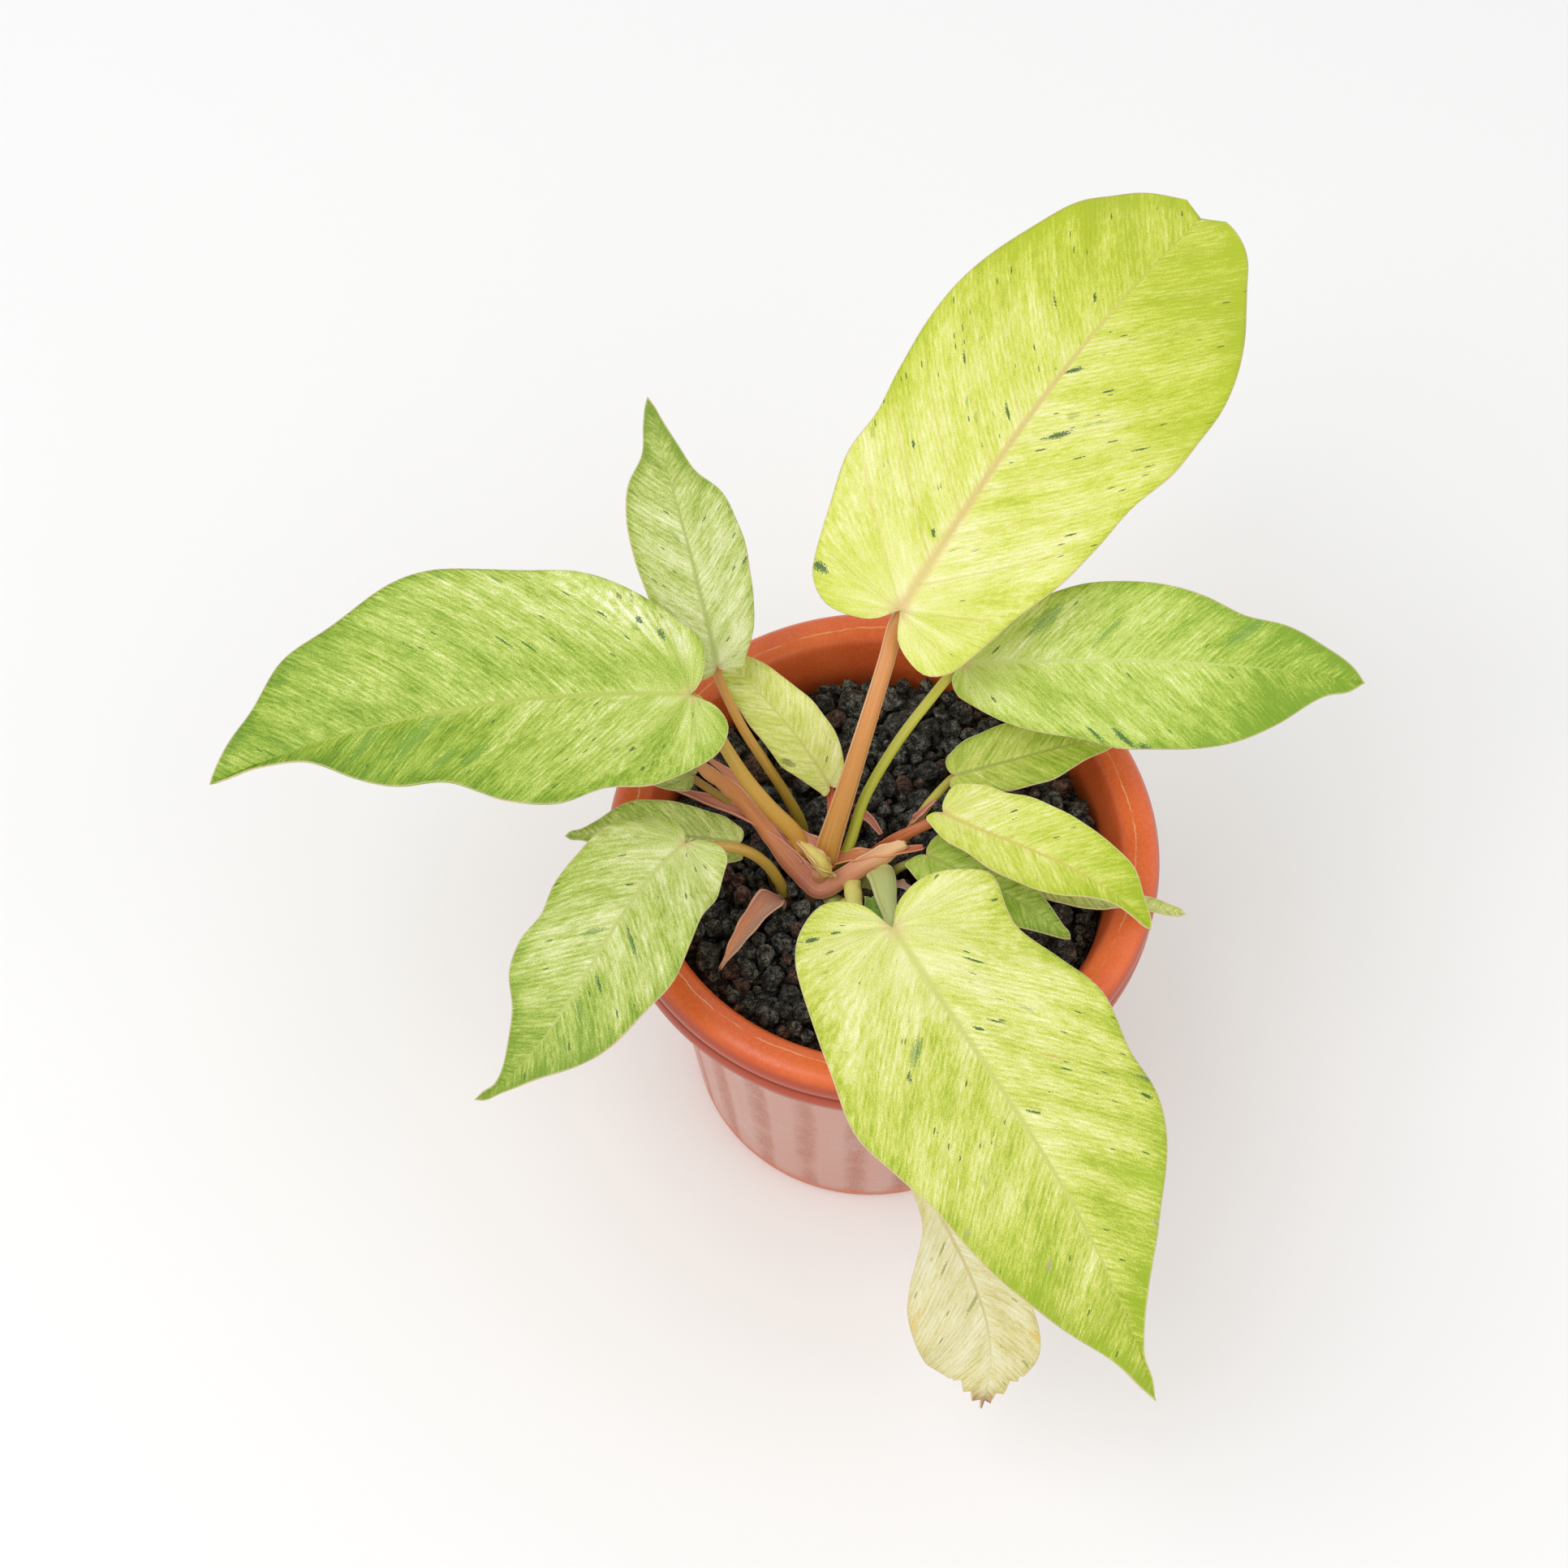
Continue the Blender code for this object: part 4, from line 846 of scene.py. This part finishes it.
# leaf skin: bands, streaks and grain all drawn out along the veins, from deep green through the
# body colour to cream; pale by the midrib and the joint, green towards the tip and the margin
def paintLeaf(key, look, length):
    paint = Paint("leafTop_" + key, Specular_IOR_Level=0.35)
    size = length / 160
    along, across, edge = paint.parts(paint.field("leafPlace"))
    vein, reach, out = paint.parts(paint.field("leafVein"))
    seed = float(ord(key) * 7)
    half = paint.step(out, -0.02, 0.02) * 60 + seed
    away = paint.math("ABSOLUTE", across)

    def streak(width, long, detail, shift):
        spot = paint.vector(vein * (1 / width), reach * (1 / long), half + shift)
        return paint.noise(spot, 1.0, detail, 0.62)

    thread = streak(0.8, 3.2, 3, 0)
    dash = streak(1.9, 9, 3, 11)
    band = streak(7 * size + 2, 34 * size, 3, 23)
    grain = paint.noise(paint.vector(along, across, seed), 2.0, 3, 0.8)
    cloud = paint.noise(paint.vector(along * 0.03, across * 0.035, seed), 1.0, 2, 0.5)
    run = along * (1 / length)
    line = paint.math("COSINE", vein * (6.2832 / 2.3))
    calm = 1 - paint.step(along * along + across * across, (30 * size) ** 2, (5 * size) ** 2) * 0.6
    fibre = ((thread - 0.5) * 1.15 + (dash - 0.5) * 0.9 + line * cloud * 0.13) * calm
    tone = look["tone"] + fibre + (band - 0.5) * 1.25 + (grain - 0.5) * 1.5
    tone = tone + (cloud - 0.5) * look.get("cloud", 0.7) + look["base"] * paint.step(run, 0.75, -0.1)
    tone = tone - look["tip"] * paint.step(run, 0.45, 1.05) - look.get("side", 0.0) * paint.step(out, -0.1, -0.6)
    tone = tone + look.get("halo", 0.12) * paint.step(away, 9 * size, 0) - 0.22 * paint.step(edge, 7 * size, 0)
    deep, body, pale = (screen(*look[name]) for name in ("deep", "body", "pale"))
    stops = [(0.03, deep), (0.37, body), (0.74, pale), (1.0, screen(250, 249, 216))]
    colour = paint.node("ShaderNodeValToRGB", {"stops": stops}, {0: tone * 0.8})
    light = paint.step(thread * 0.6 + grain * 0.5 + band * 0.3, 0.8, 0.98)
    colour = paint.mix(light * 0.5, colour, screen(250, 249, 212))
    # darker green islands, then small dark flecks along the veins
    island = paint.step(streak(5, 12, 3, 37) + (cloud - 0.5) * 0.5, 0.69, 0.76)
    colour = paint.mix(island * look.get("islands", 0.4), colour, screen(*look.get("island", (104, 146, 50))))
    cell = paint.vector(vein * (1 / 1.5), reach * (1 / 4.6), half)
    near = paint.cells(cell, 1.0)
    draw, _, _ = paint.parts(paint.cells(cell, 1.0, output="Color"))
    fleck = paint.step(near + (grain - 0.5) * 0.5, 0.3, 0.2) * paint.step(draw, 1 - look["flecked"], 1.01 - look["flecked"])
    colour = paint.mix(fleck * 0.85, colour, screen(*look.get("dark", (64, 108, 44))))
    rough = (grain - 0.5) * 5 + (dash - 0.5) * 3
    for u, v, wide, long, *tint in look.get("spots", ()):  # vein, reach (minus: right half), half-sizes
        fromIt = ((vein - u) * (1 / wide)) ** 2 + ((reach - abs(v)) * (1 / long)) ** 2 + rough
        spot = paint.step(fromIt, 1.1, 0.5) * paint.step(across * math.copysign(1, v), -0.2, 0.2)
        colour = paint.mix(spot * (0.6 if tint else 0.92), colour, screen(*(tint or look.get("dark", (60, 100, 42)))))
    # side veins and the midrib, which fades towards the tip
    turn = paint.math("COSINE", (vein * (1 / length) + 0.5 * paint.step(out, 0.02, -0.02)) * (look["veins"] * 6.2832))
    lateral = paint.step(turn, 0.985, 1.0) * paint.step(edge, 2 * size, 9 * size) * paint.step(run, 0.9, 0.2)
    colour = paint.mix(lateral * look.get("laterals", 0.25), colour, screen(*look["rib"]))
    wide, fades = look["ribWide"], look.get("ribFades", 0.9)
    width = paint.step(run, 1.0, -0.2) * (0.5 * wide) + 0.25
    rib = paint.step(away / width + (thread - 0.5) * 0.8, 1.6, 0.3) * paint.step(run, fades, fades - 0.35)
    colour = paint.mix(rib * 0.7, colour, screen(*look["rib"]))
    heart = paint.step(along * along + across * across, (5 * size) ** 2, 0.0)
    colour = paint.mix(heart * 0.35, colour, screen(*look.get("heart", (226, 186, 140))))
    if "burn" in look:  # a dry torn tip
        dry = paint.step(run + (dash - 0.5) * 0.16, 0.9, 0.99)
        colour = paint.mix(dry * 0.9, colour, screen(*look["burn"]))
    hem = paint.step(edge, 0.5, 0.15) * 0.55
    colour = paint.mix(hem, colour, screen(*look.get("hem", (236, 208, 172))))
    paint.feed("Base Color", colour)
    paint.feed("Roughness", look.get("rough", 0.34) + dash * 0.2)
    height = (thread * 0.5 + line * 0.3) * calm + grain * 0.6 - lateral * 0.6
    paint.feed("Normal", paint.bump(height, 0.00035, 0.5))
    return paint.material


def paintUnder(key, look, length):
    paint = Paint("leafUnder_" + key, Specular_IOR_Level=0.3)
    along, across, edge = paint.parts(paint.field("leafPlace"))
    vein, reach, out = paint.parts(paint.field("leafVein"))
    fine = paint.noise(paint.vector(vein * 0.6, reach * 0.15, float(ord(key) * 5)), 1.0, 4, 0.6)
    body, pale, deep = (screen(*look[name]) for name in ("body", "pale", "deep"))
    colour = paint.mix(paint.step(fine, 0.35, 0.65), body, pale)
    turn = paint.math("COSINE", vein * (look["veins"] * 6.2832 / length))
    ridge = paint.step(turn, 0.95, 1.0)
    colour = paint.mix(ridge * 0.35, colour, deep)
    colour = paint.mix(0.45, colour, screen(206, 214, 150))
    paint.feed("Base Color", colour)
    paint.feed("Roughness", 0.5 + fine * 0.2)
    paint.feed("Normal", paint.bump(fine + ridge, 0.0003, 0.4))
    return paint.material


def paintHem(key, look):
    paint = Paint("leafHem_" + key, Roughness=0.45)
    wander = paint.noise(paint.place(), 60, 3, 0.6)
    hem = screen(*look.get("hem", (236, 208, 172)))
    paint.feed("Base Color", paint.mix(paint.step(wander, 0.4, 0.65), hem, screen(*look["body"])))
    return paint.material


def buildBlade(key):
    leaf, look = leafShapes[key], leafLooks[key]
    blade = Blade(leaf)
    fan, rows, columns = (24, 110, 26) if blade.length > 75 else (14, 60, 14)
    points, places, veins, faces = [], [], [], []
    for side in (0, 1):
        grid, place, vein = blade.half(side, fan, rows, columns, look["veins"])
        corners = quads(grid.shape[0], grid.shape[1]) + len(points) * grid.shape[0] * grid.shape[1]
        faces.append(corners[:, ::-1] if side == 0 else corners)
        points.append(grid.reshape(-1, 3) * mm)
        places.append(place.reshape(-1, 3))
        veins.append(vein.reshape(-1, 3))
    paints = [paintLeaf(key, look, blade.length), paintUnder(key, look, blade.length), paintHem(key, look)]
    piece = makePiece("leaf_" + key, np.vstack(points), np.vstack(faces), paints,
                      {"leafPlace": np.vstack(places), "leafVein": np.vstack(veins)}, weld=0.02 * mm)
    thicken(piece, 0.55, under=1, rim=2)
    slot = {"a": "leaf_lime", "g": "leaf_lime", "j": "leaf_lime", "k": "leaf_cream"}.get(key, "leaf_green")
    return finishPiece(piece, slot, "blade_" + key)


for key in leafShapes:
    buildBlade(key)
print("leaves done")


# colours on screen from root to joint; wide: widths in radii along the stalk; face: the flat side
stalkLooks = {
    "a": dict(colours=[(196, 140, 60), (212, 140, 76), (214, 146, 84), (206, 140, 88)], wide=(1.35, 1.15, 1.05, 1.0, 1.0),
              thick=0.7, rim=(236, 184, 150)),
    "b": dict(colours=[(206, 150, 60), (196, 160, 62), (200, 140, 80)], wide=(1.2, 1.1, 1.0, 1.0)),
    "c": dict(colours=[(176, 160, 44), (200, 150, 60), (206, 130, 70)]),
    "d": dict(colours=[(190, 80, 50), (200, 84, 50), (206, 110, 60)]),
    "e": dict(colours=[(176, 182, 52), (190, 190, 66), (204, 192, 76), (208, 176, 80)], wide=(0.8, 0.75, 0.8, 0.85)),
    "f": dict(colours=[(176, 120, 40), (186, 186, 60), (160, 90, 60)]),
    "g": dict(colours=[(176, 84, 50), (186, 96, 56), (190, 110, 70)]),
    "h": dict(colours=[(150, 130, 60), (150, 150, 70), (170, 130, 80)]),
    "i": dict(colours=[(160, 120, 60), (170, 140, 80), (180, 150, 90)]),
    "j": dict(colours=[(196, 204, 128), (186, 200, 128), (176, 192, 122), (150, 170, 96)], thick=0.42,
              wide=(1.1, 1.25, 1.75, 1.65, 1.3, 1.0), face=(0.1, -0.5, 0.86), rim=(214, 222, 168)),
    "k": dict(colours=[(206, 200, 104), (222, 214, 128), (226, 206, 140)]),
    "l": dict(colours=[(176, 156, 56), (196, 150, 66), (206, 140, 76)]),
    "m": dict(colours=[(150, 130, 60), (160, 140, 70), (170, 130, 80)]),
    "n": dict(colours=[(166, 160, 50), (176, 150, 60), (180, 140, 70)]),
    # painted shade: stalk o is painted dark, like its leaf
    "o": dict(colours=[(110, 130, 50), (110, 140, 56), (112, 146, 60)]),
}


# rim: a colour for both edges; inner: a colour for the far half
def paintStalk(name, colours, roughness=0.36, rim=None, inner=None):
    paint = Paint(name, Specular_IOR_Level=0.45)
    run, around, _ = paint.parts(paint.field("stalkPlace"))
    streak = paint.noise(paint.vector(run * 5, around * 9, 1.0), 1.0, 4, 0.6)
    speck = paint.noise(paint.place(), 1500, 3, 0.7)
    stops = [(0.03 + 0.94 * i / (len(colours) - 1), screen(*c)) for i, c in enumerate(colours)]
    colour = paint.node("ShaderNodeValToRGB", {"stops": stops}, {0: run})
    if inner:
        colour = paint.mix(paint.step(around, 0.46, 0.6) * 0.85, colour, screen(*inner))
    lighter = paint.mix(0.3, colour, (0.95, 0.9, 0.55))
    darker = paint.mix(0.3, colour, (0.2, 0.05, 0.01))
    colour = paint.mix(paint.step(streak, 0.5, 0.75) * 0.6, colour, lighter)
    colour = paint.mix(paint.step(streak, 0.45, 0.25) * 0.5, colour, darker)
    colour = paint.mix(paint.step(speck, 0.5, 0.7) * 0.2, colour, lighter)
    if rim:
        side = paint.math("ABSOLUTE", around - 0.5) + (streak - 0.5) * 0.05
        # painted shade: a thin dark line in the groove inside each edge
        groove = paint.step(side, 0.33, 0.38) * paint.step(side, 0.42, 0.39)
        colour = paint.mix(groove * 0.22, colour, (0.2, 0.05, 0.02))
        colour = paint.mix(paint.step(side, 0.42, 0.46) * 0.6, colour, screen(*rim))
    paint.feed("Base Color", colour)
    paint.feed("Roughness", roughness + streak * 0.15)
    paint.feed("Normal", paint.bump(streak + speck * 0.3, 0.00025, 0.35))
    return paint.material


# a rounded bar carried along a path: its section is an oval, width across, thick towards face
def sweep(name, path, width, thick, face, paints, sides=20):
    count = len(path)
    ahead = unit(np.gradient(path, axis=0))
    across = unit(np.cross(np.array(face, float), ahead))
    up = np.cross(ahead, across)
    turn = np.linspace(0, 2 * math.pi, sides, endpoint=False)
    c, s = np.cos(turn), np.sin(turn)
    section = across[:, None] * (width[:, None] * c)[..., None] + up[:, None] * (thick[:, None] * s)[..., None]
    grid = path[:, None] + section
    run = np.linspace(0, 1, count)[:, None] + 0 * turn
    around = 0.5 + 0.5 * np.cos(turn)[None] + 0 * run
    field = np.stack([run, around, 0 * run], -1).reshape(-1, 3)
    ends = path[[0, -1]]
    endField = np.array([[0, 0.5, 0], [1, 0.5, 0]])
    faces = quads(count, sides, True).tolist()
    last = count * sides
    faces += [(i, (i + 1) % sides, last) for i in range(sides)]
    faces += [(last - sides + (i + 1) % sides, last - sides + i, last + 1) for i in range(sides)]
    points = np.vstack([grid.reshape(-1, 3), ends]) * mm
    return makePiece(name, points, faces, paints, {"stalkPlace": np.vstack([field, endField])}, turnOut=True)


# the stalk runs from its root to the joint, then on under the blade as the midrib
def buildStalk(key):
    leaf, look = leafShapes[key], stalkLooks[key]
    blade = Blade(leaf)
    root, end = leaf["radius"]
    point, tangent, _, up = (v[0] for v in blade.frame(np.array([0.0])))
    drop = 0.3 + 0.9 * end
    knee = point - up * (drop + 1.4 * end) - tangent * 1.6 * end
    along = np.linspace(0.03, 0.82, 9) * blade.length
    under, _, _, upThere = blade.frame(along)
    fine = np.linspace(0.62, 0.12, 9) * end
    rib = under - upThere * (0.3 + 0.55 * blade.length / 160 + 0.9 * fine)[:, None]
    route = smoothLine(leaf["petiole"][:-1] + [leaf["petiole"][-1], knee, *rib], 8)
    path = evenly(route, 96)
    run = np.r_[0, np.cumsum(np.linalg.norm(np.diff(path, axis=0), axis=1))]
    bend = run[np.argmin(np.linalg.norm(path - knee, axis=1))]
    radius = np.interp(run, [0, bend, bend + 2.5 * end, run[-1]], [root, end, 0.66 * end, 0.12])
    wide = radius * np.interp(run / bend, np.linspace(0, 1, len(look.get("wide", (1,)))), look.get("wide", (1,)))
    thick = radius * np.interp(run / bend, [0, 0.75, 1], [look.get("thick", 0.95), 0.95, 0.95])
    paint = paintStalk("stalk_" + key, [*look["colours"], leafLooks[key]["body"]], rim=look.get("rim"))
    piece = sweep("stalk_" + key, path, wide, thick, look.get("face", (0.05, -0.55, 0.85)), [paint])
    return finishPiece(piece, "petiole_skin", "petiole_" + key)


for key in leafShapes:
    buildStalk(key)
print("stalks done")


# strips: keel is the points along the middle, half the half-widths along it, lift how high the sides
# curl (far: the far side alone), face where the open side looks, ragged how torn the edges are
crownStrips = {
    "boat": dict(
        keel=[(-63, 12.6, 172.5), (-58.9, 9.0, 171), (-49.7, 5.4, 165.5), (-41, -0.4, 159.5), (-33.4, -7, 154),
              (-27.4, -12, 149.5), (-22.6, -15.2, 146.7), (-20.0, -16.6, 145.4), (-17.0, -16.2, 146.4), (-10.4, -13.2, 150.4),
              (-4.8, -10.4, 153.2), (1.2, -7.2, 156), (7, -4.4, 158)],
        half=(1.2, 2.2, 2.7, 2.9, 3.2, 3.5, 3.9, 3.8, 3.7, 3.3, 3.4, 3.1, 1.6), lift=-0.75, far=0.1, face=(-0.1, -0.35, 1), ragged=0.4,
        colours=[(214, 146, 84), (214, 138, 78), (208, 130, 82), (184, 110, 88), (206, 136, 98), (236, 190, 140)],
        rim=(238, 192, 164)),
    "boat_back": dict(
        keel=[(-60.5, 14.6, 171), (-48, 8.4, 165.4), (-38.4, 2.4, 159.4), (-30.4, -4.2, 153.8), (-24.6, -8.8, 149.6)],
        half=(0.6, 1.9, 2.6, 2.9, 3.0), lift=0.3, face=(0.1, 0.1, 1), ragged=0.3,
        colours=[(204, 130, 96), (200, 124, 100), (192, 112, 98)], rim=(230, 172, 150)),
    "under_arm": dict(
        keel=[(-15, -8.5, 149.5), (-5, -7.4, 152.6), (3.3, -6.6, 154.6), (12.8, -5.2, 157)],
        half=(3.0, 2.8, 2.5, 2.3, 1.0), lift=0.5, face=(0, 0.25, 1), ragged=0.5,
        colours=[(186, 112, 66), (206, 128, 72), (194, 104, 78)], rim=(230, 160, 120)),
    "left_long": dict(
        keel=[(-22, -10, 147), (-30, -5.5, 152), (-43, 0.5, 155), (-70, 10, 155)],
        half=(2.8, 2.8, 2.8, 2.6, 0.8), lift=0.8, face=(0, 0.3, 1),
        colours=[(196, 110, 80), (206, 124, 100), (214, 140, 116), (200, 124, 100)], rim=(228, 170, 150)),
    "web": dict(
        keel=[(-41, 2.6, 161.4), (-36, 0.6, 159), (-30.9, -2.6, 156.6), (-24.4, -5, 154), (-18.5, -6, 151)],
        half=(0.4, 1.8, 2.8, 3.4, 3.4), lift=0.25, face=(0.2, -0.1, 1), ragged=0.3,
        colours=[(200, 124, 84), (204, 134, 108), (208, 146, 124)], rim=(234, 182, 166)),
    "new_leaf": dict(
        keel=[(-17.0, -14.6, 150.5), (-19.6, -14, 154.6), (-23.2, -12.6, 159.2), (-27.6, -11, 164.5)],
        half=(2.8, 3.3, 3.1, 2.2, 0.4), lift=0.95, face=(-0.4, 0.2, 1),
        colours=[(206, 190, 88), (216, 200, 104), (206, 170, 92)], rim=(232, 176, 150)),
    "stalk_wing": dict(
        keel=[(-9.8, -10.5, 146.4), (-9.2, -15, 149), (-8.4, -20, 150.6), (-7.4, -26, 152.4)],
        half=(3.0, 3.1, 3.0, 2.7), lift=-0.5, face=(0, -0.4, 1),
        colours=[(196, 190, 92), (220, 212, 118), (212, 206, 116)], rim=(186, 176, 84)),
    "fork_scale": dict(
        keel=[(8.6, 6.6, 149), (11, 7.4, 154), (15.8, 11, 160.5)], half=(1.5, 1.9, 1.4, 0.3), lift=0.8, face=(-0.5, 0.3, 1),
        colours=[(190, 100, 80), (206, 132, 116), (196, 120, 96)], rim=(226, 170, 150)),
    "scrap": dict(
        keel=[(4.6, -9.6, 139.6), (8.5, -11.7, 141.2), (11.6, -12.8, 139.8)], half=(0.9, 1.7, 1.2, 0.3), lift=0.6,
        face=(0.2, 0, 1), ragged=0.6, colours=[(226, 180, 160), (232, 196, 176), (200, 140, 110)], rim=(240, 216, 196)),
}
looseStrips = {
    "sheath_front": dict(
        keel=[(-30.2, -19.5, 130.5), (-31.6, -20, 141), (-35.4, -25, 147.8), (-40.4, -34, 149.6), (-44.6, -42.4, 149),
              (-48.2, -49.2, 147)],
        half=(0.9, 1.3, 4.9, 4.0, 2.4, 0.3), lift=0.4, ragged=0.7, inner=(190, 146, 128),
        colours=[(150, 110, 96), (186, 130, 112), (214, 132, 98), (230, 156, 108)], rim=(236, 186, 158)),
    "sheath_back": dict(
        keel=[(-9, 13, 130), (-8, 12, 142), (-5, 8.5, 147), (-1, 4, 147)], half=(1.6, 2.4, 2.2, 1.6, 0.6), lift=0.8,
        colours=[(180, 110, 90), (210, 136, 118), (190, 110, 90)], rim=(228, 170, 150)),
}
# rods: an oval bar along points, wide and thick at even steps
crownRods = {
    # painted shade: the stem is painted dark brown, darkest at its foot, for the shade below the sheaths' nose
    "stem_core": dict(
        points=[(-19.5, -11.6, 127), (-19.5, -11.6, 149)], wide=(5.6, 5.8, 5.4, 3.4), thick=(5.6, 5.8, 5.4, 3.4), face=(0, -1, 0.2),
        colours=[(110, 84, 56), (150, 110, 70), (186, 124, 84)]),
    "new_roll": dict(
        points=[(-17.4, -14.2, 151.6), (-19.6, -13.4, 156), (-22.6, -12.2, 160), (-26.4, -10.8, 164)],
        wide=(2.2, 2.6, 2.2, 0.6), thick=(1.9, 2.3, 1.9, 0.5), face=(0, 0, 1), colours=[(222, 192, 88), (228, 212, 116), (214, 184, 96)]),
    "stalk_foot": dict(
        points=[(-35.5, -1.5, 150.5), (-31.4, -6, 148), (-26.4, -10, 144)], wide=(1.8, 2.2, 2.4), thick=(1.7, 2.0, 2.2), face=(0, 0, 1),
        colours=[(170, 150, 56), (150, 150, 50), (120, 124, 48)]),
    "bud": dict(
        points=[(-18.5, -17.4, 135.5), (-14.4, -17.6, 139.2), (-10.4, -17, 136)], wide=(2.0, 2.3, 1.8), thick=(1.8, 2.1, 1.6),
        face=(0, 0, 1), colours=[(120, 124, 52), (158, 160, 70), (130, 130, 60)]),
}


# a papery strip: an open U, height = lift·half·s² across it, swept along its keel
def buildStrip(name, part, *nodes, columns=14):
    rows = 12 * len(part["keel"])
    keel = evenly(smoothLine(part["keel"], 12), rows + 1)
    half = spread(part["half"], rows + 1)[:, None, None]
    ahead = unit(np.gradient(keel, axis=0))
    across = unit(np.cross(np.array(part.get("face", (0, 0, 1)), float), ahead))
    up = np.cross(ahead, across)
    s = np.linspace(-1, 1, columns + 1)[None, :, None]
    share = np.linspace(0, 1, rows + 1)[:, None, None]
    torn = part.get("ragged", 0.2)
    run = np.concatenate([share * keel.shape[0] / 4, 0 * share], -1)
    frill = torn * ripple(run, 3.1, 5)[..., None] * np.abs(s) ** 3
    curl = np.where(s > 0, part.get("far", part["lift"]), part["lift"]) * s**2 + 0.1 * np.sin(share * 21 + s * 2) * s**2
    grid = keel[:, None] + across[:, None] * (half * (s - 0.12 * s**3) + 0.5 * frill * np.sign(s))
    grid = grid + up[:, None] * (half * curl + 0.4 * frill)
    ends = ripple(np.concatenate([s * 9, 0 * s], -1), 3.0, 8)[..., None] * (share**10 - (1 - share) ** 10)
    grid = grid + ahead[:, None] * ends * torn * 1.5
    field = np.concatenate([share + 0 * s, 0.5 + 0.5 * s + 0 * share, 0 * s + 0 * share], -1)
    paint = paintStalk("strip_" + name, part["colours"], 0.45, part.get("rim"), part.get("inner"))
    piece = makePiece("strip_" + name, grid * mm, quads(rows + 1, columns + 1), [paint], {"stalkPlace": field}, turnOut=True)
    thicken(piece, 0.5)
    return finishPiece(piece, "papery_sheath" if nodes else "stem_skin", *nodes)


def buildRod(name, rod, *nodes):
    path = evenly(smoothLine(rod["points"], 12), 32)
    wide, thick = spread(rod["wide"], 32), spread(rod["thick"], 32)
    piece = sweep("rod_" + name, path, wide, thick, rod["face"], [paintStalk("rod_" + name, rod["colours"])])
    return finishPiece(piece, "stem_skin", *nodes)


for name, part in crownStrips.items():
    buildStrip(name, part)
for name, part in looseStrips.items():
    buildStrip(name, part, name)
for name, rod in crownRods.items():
    buildRod(name, rod, *(["stem"] if name == "stem_core" else []))
print("crown done")
